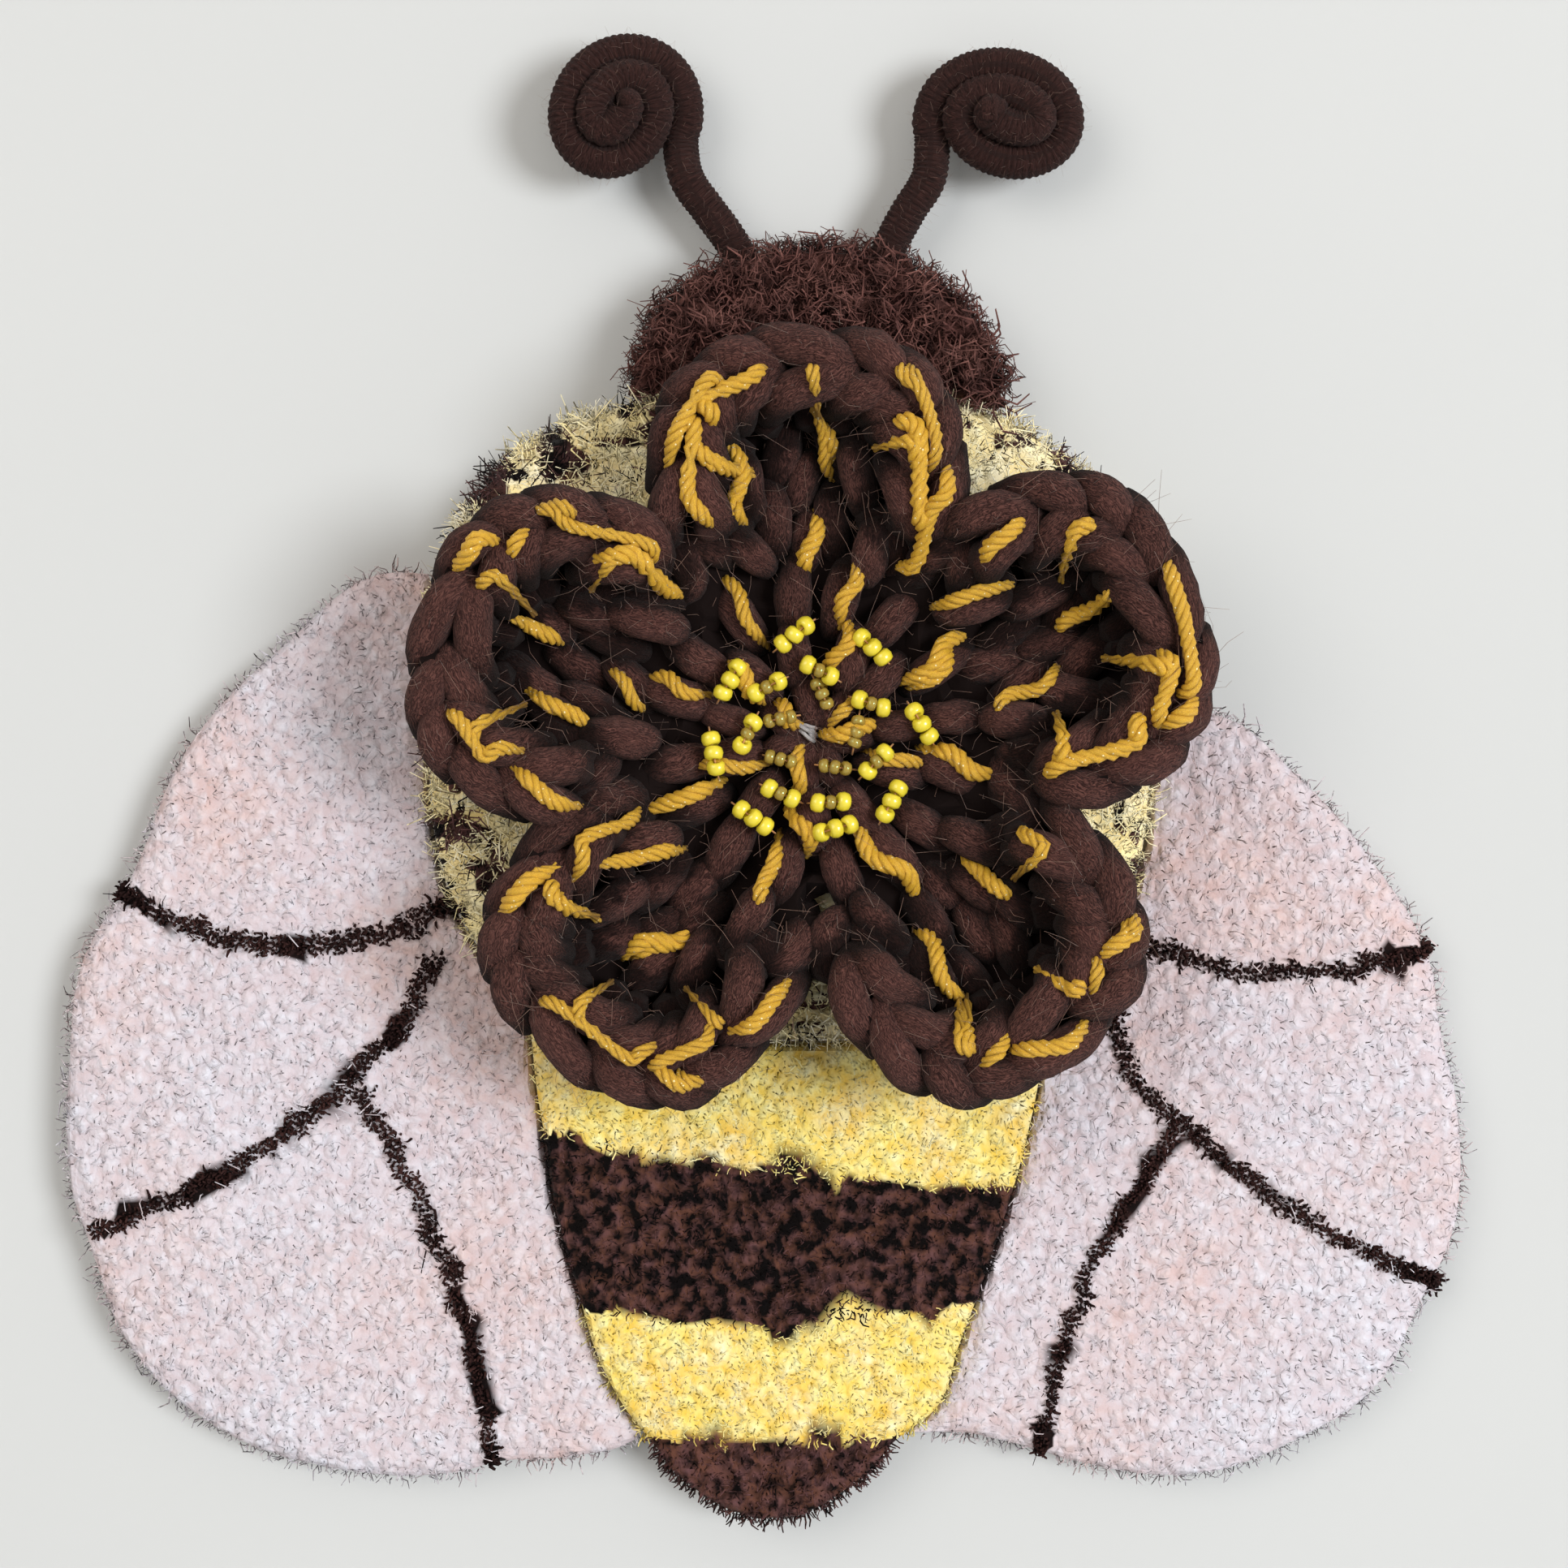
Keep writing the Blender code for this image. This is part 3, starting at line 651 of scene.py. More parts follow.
shapesFor = {
    "fine": tuftShapes("fineTuft", {"seed": 21, "variants": 8, "strands": 3, "length": 1.75, "width": 0.13,
                                    "splay": 0.9, "bend": 0.6, "foot": 0.45, "rings": 3, "curl": 0.2}),
    "dense": tuftShapes("denseTuft", {"seed": 22, "variants": 6, "strands": 4, "length": 1.45, "width": 0.15,
                                      "splay": 0.7, "bend": 0.4, "foot": 0.45, "rings": 3, "curl": 0.15}),
    "fluffy": tuftShapes("fluffyTuft", {"seed": 23, "variants": 6, "strands": 6, "length": 2.3, "width": 0.13,
                                        "splay": 1.0, "bend": 0.7, "foot": 0.6, "rings": 3, "curl": 0.25}),
    "shaggy": tuftShapes("shaggyTuft", {"seed": 26, "variants": 8, "strands": 6, "length": 2.8, "width": 0.18,
                                        "splay": 0.9, "bend": 0.6, "foot": 0.5, "rings": 4, "curl": 0.6}),
    "vein": tuftShapes("veinTuft", {"seed": 24, "variants": 5, "strands": 4, "length": 1.15, "width": 0.30,
                                    "splay": 0.8, "bend": 0.35, "foot": 0.4, "rings": 3, "curl": 0.15}),
}


def dressPanel(node, tuftKind, finish, rules):
    look = panels[node]
    bed = bedOf(node, look)
    paint(bed, rules)
    pile = grow(node + "_pile", bed, look, shapesFor[tuftKind], finish)
    # fine pale fibres let light through, so they throw no shadow of their own
    pile.visible_shadow = not look.get("fine", False)
    core = thin(bed, coreShare)
    core.name = node + "_core"
    core.data.materials.clear()
    core.data.materials.append(finish)
    cloth, area, flat = backingOf(node + "_cloth", node)
    rideRoot(pile, (node,))
    rideRoot(core)
    rideRoot(cloth)
    return pile, core


def veinRow(node, paths, core):
    # darker tufts planted along each vein, on a narrow strip laid over the pile's core
    tree = BVHTree.FromObject(core, bpy.context.evaluated_depsgraph_get())
    verts, faces = [], []
    for vein, path in zip(veins[node], paths):
        start = len(verts)
        for k, q in enumerate(path):
            t = k / (len(path) - 1)
            ahead, behind = path[min(k + 1, len(path) - 1)], path[max(k - 1, 0)]
            across = Vector((-(ahead - behind).y, (ahead - behind).x)).normalized()
            uneven = 0.6 + 1.1 * abs(noise.noise(Vector((q.x / 3, q.y / 3, 2.0))))
            half = vein["width"] * uneven * (1.05 - 0.35 * t)
            for side in (-1, 1):
                x, z = q.x + across.x * half * side * 0.5, q.y + across.y * half * side * 0.5
                hit = tree.ray_cast(Vector((x, -60.0, z)) * mm, Vector((0, 1, 0)))[0]
                y = hit.y / mm if hit else -3.0
                verts.append(Vector((x, min(y + 0.1, -2.4), z)) * mm)
        for k in range(len(path) - 1):
            a = start + 2 * k
            faces.append((a, a + 1, a + 3, a + 2))
    strip = newMesh(node + "_veinStrip", verts, faces, {"grow": [1.0] * len(verts), "tall": [1.0] * len(verts),
                                                        "band": [0.0] * len(verts), "tint": [0.4] * len(verts)})
    if sum(p.normal.y for p in strip.data.polygons) > 0:
        strip.data.flip_normals()
    look = {"spacing": 0.78, "lean": 0.6, "shortest": 0.75, "longest": 1.25, "seed": 12, "density": 20.0}
    made = grow(node + "_veins", strip, look, shapesFor["vein"], veinPile)
    drop(strip)
    return rideRoot(made)


for wing in veins:
    paths = [veinPath(vein) for vein in veins[wing]]
    coarse = [path[::4] for path in paths]
    _, core = dressPanel(wing, "fine", pinkPile, {
        "grow": lambda p, n: facing(wing, p, n) * (0.0 if nearVein(p, coarse) < 1.7 else 1.0),
        "tall": lambda p, n: 1.0 + 0.2 * wobble(p, 6.0),
        "band": lambda p, n: 1.0 if nearVein(p, coarse) < 1.5 else 0.0,
        "tint": lambda p, n: blushAt(p),
    })
    veinRow(wing, paths, core)
dressPanel("abdomen", "dense", yellowPile, {
    "grow": lambda p, n: facing("abdomen", p, n),
    "tall": lambda p, n: (1.0 if p.z > -199 else 1.2) + 0.15 * wobble(p, 3.0),
    "band": lambda p, n: bandAt(p),
    "tint": lambda p, n: clumpAt(p, 1.5, 2.0) + (-0.08 if p.z > -199 else 0.35),
})
dressPanel("thorax", "fluffy", creamPile, {
    "grow": lambda p, n: facing("thorax", p, n),
    "tall": lambda p, n: 1.05 + 0.5 * wobble(p, 6.5),
    "band": lambda p, n: fleckAt(p),
    "tint": lambda p, n: clumpAt(p, 3.0, 6.0),
})
dressPanel("head", "shaggy", brownPile, {
    "grow": lambda p, n: facing("head", p, n),
    "tall": lambda p, n: (0.66 if n.y > -0.5 else 1.0) + 0.4 * wobble(p, 4.0),
    "band": lambda p, n: 0.0,
    "tint": lambda p, n: clumpAt(p, 1.7, 9.0),
})
print("pile planted")


class YarnMesh:
    # collects round yarns into one mesh with the fibre direction and a tint for each
    def __init__(self):
        self.verts, self.faces, self.fibre, self.tint = [], [], [], []

    def lay(self, points, radii, sides, tint, twist=0.0, stretch=40.0, lump=0.0):
        points = [Vector(p) for p in points]
        start, travelled = len(self.verts), 0.0
        normal = None
        offset = random.Random(len(self.verts)).uniform(0, 90)
        for k, p in enumerate(points):
            way = (points[min(k + 1, len(points) - 1)] - points[max(k - 1, 0)]).normalized()
            if normal is None:
                normal = way.orthogonal().normalized()
            normal = (normal - way * normal.dot(way)).normalized()
            other = way.cross(normal)
            if k:
                travelled += (p - points[k - 1]).length
            for side in range(sides):
                angle = 2 * math.pi * side / sides
                radius = radii[k]
                if lump:
                    around = Vector((math.cos(angle), math.sin(angle), offset))
                    radius *= 1.0 + lump * noise.noise(p / 3.0 + around)
                self.verts.append(p + normal * (radius * math.cos(angle)) + other * (radius * math.sin(angle)))
                turned = angle + twist * travelled
                self.fibre.append((3.5 * math.cos(turned), 3.5 * math.sin(turned),
                                   offset + travelled / stretch * 4))
                self.tint.append(tint)
        for k in range(len(points) - 1):
            for side in range(sides):
                a, b = start + k * sides + side, start + k * sides + (side + 1) % sides
                self.faces.append((a, b, b + sides, a + sides))
        for end, flip in ((0, True), (len(points) - 1, False)):
            ring = [start + end * sides + side for side in range(sides)]
            way = points[end] - points[1 if end == 0 else end - 1]
            self.verts.append(points[end] + way.normalized() * radii[end] * 0.5)
            self.fibre.append((0.0, 0.0, offset + travelled))
            self.tint.append(tint)
            tip = len(self.verts) - 1
            for side in range(sides):
                a, b = ring[side], ring[(side + 1) % sides]
                self.faces.append((b, a, tip) if flip else (a, b, tip))

    def finish(self, name, material):
        made = newMesh(name, [v * mm for v in self.verts], self.faces, {"fibre": self.fibre, "tint": self.tint})
        made.data.materials.append(material)
        print(name, len(self.faces), "faces")
        return made


def catmull(knots, steps):
    knots = [Vector(k) for k in knots]
    padded = [2 * knots[0] - knots[1]] + knots + [2 * knots[-1] - knots[-2]]
    points = []
    for a, b, c, d in zip(padded, padded[1:], padded[2:], padded[3:]):
        for step in range(steps):
            t = step / steps
            points.append(0.5 * (2 * b + (c - a) * t + (2 * a - 5 * b + 4 * c - d) * t * t
                                 + (3 * b - a - 3 * c + d) * t ** 3))
    return points + [knots[-1]]


petals = (
    {"angle": 92.0, "reach": 41.0, "halfLength": 23.0, "halfWidth": 24.5, "rim": 20.0},
    {"angle": 21.0, "reach": 41.0, "halfLength": 23.0, "halfWidth": 25.5, "rim": 22.5},
    {"angle": -51.0, "reach": 41.5, "halfLength": 23.5, "halfWidth": 24.5, "rim": 22.0},
    {"angle": 231.0, "reach": 42.0, "halfLength": 24.0, "halfWidth": 24.5, "rim": 20.5},
    {"angle": 163.0, "reach": 41.5, "halfLength": 23.5, "halfWidth": 25.5, "rim": 22.0},
)
petalRings = ((0.34, 0.0), (0.62, 0.12), (0.86, 0.42), (0.99, 0.72), (1.0, 0.9), (0.93, 1.03), (0.83, 1.0),
              (0.74, 0.76), (0.62, 0.44), (0.4, 0.28), (0.2, 0.26))
crochet = {
    "yarn": 3.3, "links": 10, "from": 56.0, "to": 304.0, "sides": 14,
    # each row of the rim: how far inside the outline and behind the crest its legs start, arch and end
    "rows": ({"inward": (0.6, 1.5, 3.0, 5.6), "under": (9.0, 4.6, 3.4, 6.4)},
             {"inward": (11.6, 9.0, 7.4, 4.8), "under": (10.0, 4.6, 3.5, 6.4)}),
    # stitches down the cup's wall: count to a petal, rings they pass, lift off the wall, the yarn's share
    "wall": {"count": 9, "rings": (6.8, 7.4, 8.1, 8.8), "lift": (-2.4, -0.3, 0.3, -2.2), "share": 0.92},
    # stitches on the cup's floor, each a place along and across the petal from the flower's middle
    "floor": ((47.0, -4.5), (47.0, 4.5), (41.5, -9.0), (41.0, 0.0), (41.5, 9.0), (35.5, -5.0), (35.5, 5.0),
              (31.0, -10.5), (31.0, 0.0), (31.0, 10.5)),
    "floorDeep": -16.9, "floorLong": 11.5,
    "rounds": ({"count": 16, "from": 29.5, "to": 17.0, "deep": (-15.0, -19.2, -19.4, -15.6), "share": 0.98},
               {"count": 11, "from": 19.0, "to": 8.5, "deep": (-15.2, -19.9, -19.8, -15.6), "share": 0.9},
               {"count": 7, "from": 9.5, "to": 1.5, "deep": (-15.4, -19.0, -18.8, -16.0), "share": 0.8}),
}


def petalPoint(petal, turn, ring):
    # a point of the petal's surface: turn goes round its outline, ring from foot over the rim into the cup
    ring = min(max(ring, 0.0), len(petalRings) - 1.001)
    low = int(ring)
    t = ring - low
    share = petalRings[low][0] * (1 - t) + petalRings[low + 1][0] * t
    height = petalRings[low][1] * (1 - t) + petalRings[low + 1][1] * t
    across, along = math.sin(turn), -math.cos(turn)
    q = petal["halfWidth"] * math.copysign(abs(across) ** 0.8, across) * share
    p = math.copysign(abs(along) ** 0.8, along) * share
    opened = min(1.0, max(0.0, (p + 0.95) / 0.85))
    height *= 0.36 + 0.64 * opened * opened * (3 - 2 * opened)
    reach = petal["reach"] + p * petal["halfLength"]
    angle = math.radians(petal["angle"])
    return Vector((flowerSizes["x"] + reach * math.cos(angle) - q * math.sin(angle),
                   -(flowerSizes["seat"] + petal["rim"] * height),
                   flowerSizes["z"] + reach * math.sin(angle) + q * math.cos(angle)))


def outOf(petal, turn, ring):
    # the surface's outward direction there
    around = petalPoint(petal, turn + 0.03, ring) - petalPoint(petal, turn - 0.03, ring)
    over = petalPoint(petal, turn, ring + 0.15) - petalPoint(petal, turn, ring - 0.15)
    return around.cross(over).normalized()


def yarnOn(petal, stops, lift, steps=4):
    # a smooth run of points over the petal through (turn, ring) stops, lifted off its surface
    knots = []
    for (turn, ring), up in zip(stops, lift):
        knots.append(petalPoint(petal, turn, ring) + outOf(petal, turn, ring) * up)
    return catmull(knots, steps)


def fat(count, radius, ends=0.45):
    # thick in the middle and drawn in where the yarn dives under the next stitch
    return [radius * (ends + (1 - ends) * math.sin(math.pi * (0.08 + 0.84 * k / (count - 1))) ** 0.6)
            for k in range(count)]


def rimPoint(petal, turn, inward, under):
    # a point inside the petal's outline and behind the rim's crest, in millimetres
    edge, crest = petalPoint(petal, turn, 4.0), petalPoint(petal, turn, 5.0)
    along = petalPoint(petal, turn + 0.05, 4.0) - petalPoint(petal, turn - 0.05, 4.0)
    along.y = 0.0
    along.normalize()
    angle = math.radians(petal["angle"])
    middle = Vector((flowerSizes["x"] + petal["reach"] * math.cos(angle), 0.0,
                     flowerSizes["z"] + petal["reach"] * math.sin(angle)))
    inside = middle - Vector((edge.x, 0.0, edge.z))
    inside = (inside - along * inside.dot(along)).normalized()
    return Vector((edge.x, crest.y + under, edge.z)) + inside * inward


def lay(run, radius, ends=0.4):
    roving.lay(run, fat(len(run), radius, ends), crochet["sides"], chance.random(),
               chance.uniform(-0.06, 0.14), lump=0.13)
    allRuns.append((run, radius))


roving = YarnMesh()
allRuns, legs, inner = [], [], []
chance = random.Random(31)
for number, petal in enumerate(petals):
    first, last = math.radians(crochet["from"]), math.radians(crochet["to"])
    step = (last - first) / crochet["links"]
    for row, band in enumerate(crochet["rows"]):
        for link in range(crochet["links"] + 1):
            turn = first + step * (link + chance.uniform(-0.08, 0.08))
            radius = crochet["yarn"] * chance.uniform(0.92, 1.06)
            knots = []
            for share, inward, under in zip((-0.62, -0.15, 0.3, 0.72), band["inward"], band["under"]):
                knots.append(rimPoint(petal, turn + share * step, inward + chance.uniform(-0.4, 0.4),
                                      under + chance.uniform(-0.3, 0.3)))
            run = catmull(knots, 4)
            lay(run, radius)
            legs.append((number, link, row, run, radius))
    wall = crochet["wall"]
    for post in range(wall["count"]):
        turn = first + (last - first) * (post + 0.5 + chance.uniform(-0.18, 0.18)) / wall["count"]
        radius = crochet["yarn"] * wall["share"] * chance.uniform(0.9, 1.08)
        slant = chance.uniform(-0.11, 0.11)
        stops = [(turn + slant * k, ring) for k, ring in zip((-1, 0, 1, 2), wall["rings"])]
        run = yarnOn(petal, stops, wall["lift"])
        lay(run, radius, 0.5)
        inner.append((number, post, "wall", run, radius))
        outside = [rimPoint(petal, turn + slant, inward, 0.0) for inward in (9.0, 5.0, 3.2)]
        for place, share in zip(outside, (0.05, 0.3, 0.55)):
            place.y = -flowerSizes["seat"] + share * (place.y + flowerSizes["seat"])
        lay(catmull(outside, 4), radius, 0.7)
    angle = math.radians(petal["angle"])
    outward = Vector((math.cos(angle), 0.0, math.sin(angle)))
    across = Vector((-math.sin(angle), 0.0, math.cos(angle)))
    for post, (far, aside) in enumerate(crochet["floor"]):
        radius = crochet["yarn"] * chance.uniform(0.88, 1.06)
        place = outward * (far + chance.uniform(-1, 1)) + across * (aside + chance.uniform(-1, 1))
        deep = crochet["floorDeep"] - 0.06 * aside * aside + chance.uniform(-1.2, 0.8)
        place += Vector((flowerSizes["x"], deep, flowerSizes["z"]))
        turned = 0.03 * aside + chance.uniform(-0.55, 0.55)
        line = outward * math.cos(turned) + across * math.sin(turned)
        half = crochet["floorLong"] * chance.uniform(0.85, 1.1) / 2
        run = catmull([place - line * half + Vector((0, 3.4, 0)), place - line * half * 0.45 + Vector((0, 0.1, 0)),
                       place + line * half * 0.4, place + line * half + Vector((0, 3.2, 0))], 4)
        lay(run, radius, 0.4)
        inner.append((number, post, "floor", run, radius))
for number, ring in enumerate(crochet["rounds"]):
    for post in range(ring["count"]):
        angle = 2 * math.pi * (post + 0.5 + chance.uniform(-0.15, 0.15)) / ring["count"] + math.radians(20.0)
        slant = chance.uniform(-0.5, 0.5) * 6.0 / ring["from"]
        radius = crochet["yarn"] * ring["share"] * chance.uniform(0.88, 1.08)
        knots = []
        for t, deep in zip((0.0, 0.33, 0.67, 1.0), ring["deep"]):
            far = ring["from"] + (ring["to"] - ring["from"]) * t
            here = angle + slant * (t - 0.5)
            knots.append(Vector((flowerSizes["x"] + far * math.cos(here), deep,
                                 flowerSizes["z"] + far * math.sin(here))))
        run = catmull(knots, 4)
        lay(run, radius, 0.45)
        inner.append((number, post, "round", run, radius))
flowerYarn = roving.finish("flower_yarn", rovingYarn)


def paintRecessShade(obj, cell=1.2, reach=3, depth=4.6):
    # painted shade: a yarn's tint, and so its colour, is darker where it lies behind the ones beside it
    places = np.array([v.co[:] for v in obj.data.vertices]) / mm
    spots = np.round(places[:, [0, 2]] / cell).astype(int)
    spots += reach - spots.min(axis=0)
    front = np.full(spots.max(axis=0) + 1 + reach, 99.0)
    np.minimum.at(front, (spots[:, 0], spots[:, 1]), places[:, 1])
    wide = front.copy()
    for across in range(-reach, reach + 1):
        for up in range(-reach, reach + 1):
            wide = np.minimum(wide, np.roll(front, (across, up), axis=(0, 1)))
    deep = np.clip((places[:, 1] - wide[spots[:, 0], spots[:, 1]] - 0.8) / depth, 0.0, 1.0)
    layer = obj.data.attributes["tint"].data
    tint = np.empty(len(places), dtype=np.float32)
    layer.foreach_get("value", tint)
    layer.foreach_set("value", ((0.4 + 0.6 * tint) * (1.0 - 0.95 * deep)).astype(np.float32))


paintRecessShade(flowerYarn)
rideRoot(flowerYarn, ("flower",))
# a core under the flower's yarns, near black: painted shade in the gaps between stitches
flowerCore = bedOf("flower", {"voxel": 1.5, "inset": 3.2})
flowerCore = thin(flowerCore, 0.35)
flowerCore.name = "flower_core"
flowerCore.data.materials.clear()
flowerCore.data.materials.append(deepYarn)
rideRoot(flowerCore)
bpy.context.view_layer.update()
yarnTree = BVHTree.FromObject(flowerYarn, bpy.context.evaluated_depsgraph_get())
coreTree = BVHTree.FromObject(flowerCore, bpy.context.evaluated_depsgraph_get())


def frontOf(x, z):
    # how far forward the flower reaches at this place, in millimetres
    best = -flowerSizes["seat"]
    for tree in (yarnTree, coreTree):
        hit = tree.ray_cast(Vector((x, -90.0, z)) * mm, Vector((0, 1, 0)))[0]
        if hit:
            best = min(best, hit.y / mm)
    return best


goldLook = {"ply": 0.60, "coil": 0.84, "plies": 4, "pitch": 7.0, "sides": 7, "dive": (3.4, 2.0, 0.9, 0.3)}
gold = YarnMesh()


def layGold(points, tint):
    # four plies twisted round one line
    travelled, before = 0.0, points[0]
    frames, normal = [], None
    thick = 0.84 + 0.34 * tint
    for k, p in enumerate(points):
        way = (points[min(k + 1, len(points) - 1)] - points[max(k - 1, 0)]).normalized()
        normal = way.orthogonal().normalized() if normal is None else (normal - way * normal.dot(way)).normalized()
        travelled += (p - before).length
        before = p
        frames.append((p, normal, way.cross(normal), travelled))
    for ply in range(goldLook["plies"]):
        run, radii = [], []
        for k, (p, a, b, along) in enumerate(frames):
            turned = 2 * math.pi * (along / goldLook["pitch"] + ply / goldLook["plies"])
            share = thick * min(1.0, 0.5 + 0.14 * min(k, len(frames) - 1 - k))
            run.append(p + (a * math.cos(turned) + b * math.sin(turned)) * goldLook["coil"] * share)
            radii.append(goldLook["ply"] * share)
        before = len(gold.verts)
        gold.lay(run, radii, goldLook["sides"], tint, 0.5, stretch=12.0)
        # painted shade: the tint, and so the colour, is darker where the plies press together
        for n in range(before, len(gold.verts) - 2):
            centre = points[(n - before) // goldLook["sides"]]
            outer = ((gold.verts[n] - centre).length - 0.55) / 0.6
            gold.tint[n] = min(1.0, max(0.0, outer)) * (0.8 + 0.2 * tint)


def draped(knots, lift=0.9, step=0.9):
    # a line over the flower's front, smoothed so that it spans the hollows between stitches
    flat = catmull([Vector((x, 0.0, z)) for x, z in knots], 6)
    length = sum((b - a).length for a, b in zip(flat, flat[1:]))
    count = max(6, int(length / step))
    points = [flat[round(k * (len(flat) - 1) / count)] for k in range(count + 1)]
    depth = [frontOf(p.x, p.z) for p in points]
    for _ in range(3):
        depth = [min(d, (depth[max(k - 1, 0)] + depth[min(k + 1, count)]) / 2) for k, d in enumerate(depth)]
    run = []
    for k, (p, d) in enumerate(zip(points, depth)):
        end = min(k, count - k)
        buried = goldLook["dive"][end] if end < len(goldLook["dive"]) else 0.0
        run.append(Vector((p.x, d - lift + buried, p.z)))
    return run


def besideYarn(run, first, last, aside, drift):
    # places along part of a brown yarn's run, set to one side of it in plan
    picked = [run[int(first + (last - first) * k / 3)] for k in range(4)]
    along = picked[-1] - picked[0]
    across = Vector((-along.z, 0.0, along.x))
    across = across.normalized() if across.length > 0.01 else Vector((1, 0, 0))
    return [(p.x + across.x * (aside + d), p.z + across.z * (aside + d))
            for p, d in zip(picked, (0, drift, -drift, 0))]


def lengthened(places, share):
    middle = [sum(values) / len(places) for values in zip(*places)]
    return [tuple(m + (v - m) * share for v, m in zip(place, middle)) for place in places]


legRuns = {(number, link, row): run for number, link, row, run, _ in legs}
chance = random.Random(47)
for number, link, row, run, radius in legs:
    # about every third stitch of the rim carries the gold along the brown
    if (link * 5 + row * 2 + number * 3) % 7 in (0, 3) and 0 < link < crochet["links"]:
        aside = radius * chance.uniform(0.25, 0.6) * (1 if row else -1)
        places = besideYarn(run, 2, len(run) - 2, aside, chance.uniform(-0.8, 0.8))
        ahead = legRuns.get((number, link + 1, row))
        if ahead and chance.random() < 0.6:
            places = places[:3] + besideYarn(ahead, 2, len(ahead) - 2, aside * 0.6, 0.0)[2:]
        shade = chance.random()
        layGold(draped(places), shade)
        if chance.random() < 0.25:
            layGold(draped([(x + 1.3, z + 0.6) for x, z in places[:3]]), shade)
for number, post, kind, run, radius in inner:
    picked = {"wall": (post + number * 2) % 3 == 1, "floor": (post * 3 + number) % 4 == 0,
              "round": (post + number) % 2 == 0}
    if picked[kind]:
        aside = radius * chance.uniform(0.3, 0.75) * chance.choice((-1, 1))
        places = besideYarn(run, 1, len(run) - 2, aside, chance.uniform(-1.0, 1.0))
        places = lengthened(places, chance.uniform(1.0, 1.6))
        shade = chance.random()
        layGold(draped(places), shade)
        if chance.random() < 0.2:
            layGold(draped([(x + 1.1, z - 0.8) for x, z in places[1:]]), shade)
rideRoot(gold.finish("flower_gold", goldYarn))


beadRings = (
    {"radius": 16.4, "groups": 8, "kinds": "yyy", "turn": 0.2, "skew": 0.5},
    {"radius": 10.9, "groups": 7, "kinds": "yay", "turn": 0.6, "skew": 0.8},
    {"radius": 6.4, "groups": 5, "kinds": "aaa", "turn": 0.1, "skew": 1.0},
)
beadSizes = {"y": {"outer": 1.62, "tube": 0.66, "tall": 1.12}, "a": {"outer": 1.22, "tube": 0.48, "tall": 0.82}}


def beadFinish(name, colour, roughness, glassy):
    made, tree, shader, coords = newFinish(name)
    deeper = tuple(c * 0.72 for c in colour[:3]) + (1.0,)
    fill(tree, shader, {
        "Base Color": mixColour(tree, noiseOf(tree, coords, 500.0, 2.0)["Fac"], deeper, colour),
        "Roughness": roughness, "Coat Weight": 0.6, "Coat Roughness": 0.08, "Transmission Weight": glassy,
        "Thin Film Thickness": 900.0 * glassy,
    })
    return made


yellowBead = beadFinish("yellowBead", (0.80, 0.66, 0.040, 1), 0.3, 0.0)
amberBead = beadFinish("amberBead", (0.58, 0.40, 0.07, 1), 0.12, 0.45)


def beadMesh(centre, way, size, verts, faces, around=14, rings=8):
    # a short rounded tube with a real hole
    side = way.orthogonal().normalized()
    other = way.cross(side)
    start = len(verts)
    middle = size["outer"] - size["tube"]
    for k in range(around):
        a = 2 * math.pi * k / around
        outward = side * math.cos(a) + other * math.sin(a)
        for r in range(rings):
            b = 2 * math.pi * r / rings
            ringed = centre + outward * (middle + size["tube"] * math.cos(b))
            verts.append((ringed + way * (size["tall"] * math.sin(b))) * mm)
    for k in range(around):
        for r in range(rings):
            a, b = start + k * rings, start + ((k + 1) % around) * rings
            faces.append((a + r, b + r, b + (r + 1) % rings, a + (r + 1) % rings))


beadParts = {"y": ([], []), "a": ([], [])}
thread = YarnMesh()
chance = random.Random(59)
for ring in beadRings:
    for group in range(ring["groups"]):
        angle = 2 * math.pi * (group + ring["turn"] + chance.uniform(-0.12, 0.12)) / ring["groups"]
        radius = ring["radius"] * chance.uniform(0.93, 1.07)
        cx = flowerSizes["x"] + radius * math.cos(angle)
        cz = flowerSizes["z"] + radius * math.sin(angle)
        lineAngle = angle + math.pi / 2 + chance.uniform(-1, 1) * ring["skew"]
        line = Vector((math.cos(lineAngle), 0.0, math.sin(lineAngle)))
        depth = min(frontOf(cx + line.x * s, cz + line.z * s) for s in (-2.6, 0.0, 2.6))
        spots, reach = [], 0.0
        pitches = [beadSizes[k]["tall"] * 2.1 for k in ring["kinds"]]
        reach = -sum(pitches) / 2
        for kind, pitch in zip(ring["kinds"], pitches):
            at = reach + pitch / 2
            reach += pitch
            arch = 0.9 * (1 - (at / (sum(pitches) / 2)) ** 2)
            spot = Vector((cx, depth - beadSizes[kind]["outer"] * 0.75 - arch, cz)) + line * at
            way = (line + Vector((chance.uniform(-0.25, 0.25), 0.55 * (at / 3.0) + chance.uniform(-0.3, 0.3),
                                  chance.uniform(-0.25, 0.25)))).normalized()
            beadMesh(spot, way, beadSizes[kind], *beadParts[kind])
            spots.append(spot)
        dive = Vector((0, 2.6, 0))
        run = catmull([spots[0] - line * 2.0 + dive, *spots, spots[-1] + line * 2.0 + dive], 3)
        thread.lay(run, [0.16] * len(run), 5, 0.8, 0.3)
for kind, name, finish in (("y", "beads_yellow", yellowBead), ("a", "beads_amber", amberBead)):
    beads = newMesh(name, *beadParts[kind])
    beads.data.materials.append(finish)
    bm = bmesh.new()
    bm.from_mesh(beads.data)
    bmesh.ops.recalc_face_normals(bm, faces=bm.faces)
    bm.to_mesh(beads.data)
    bm.free()
    rideRoot(beads)
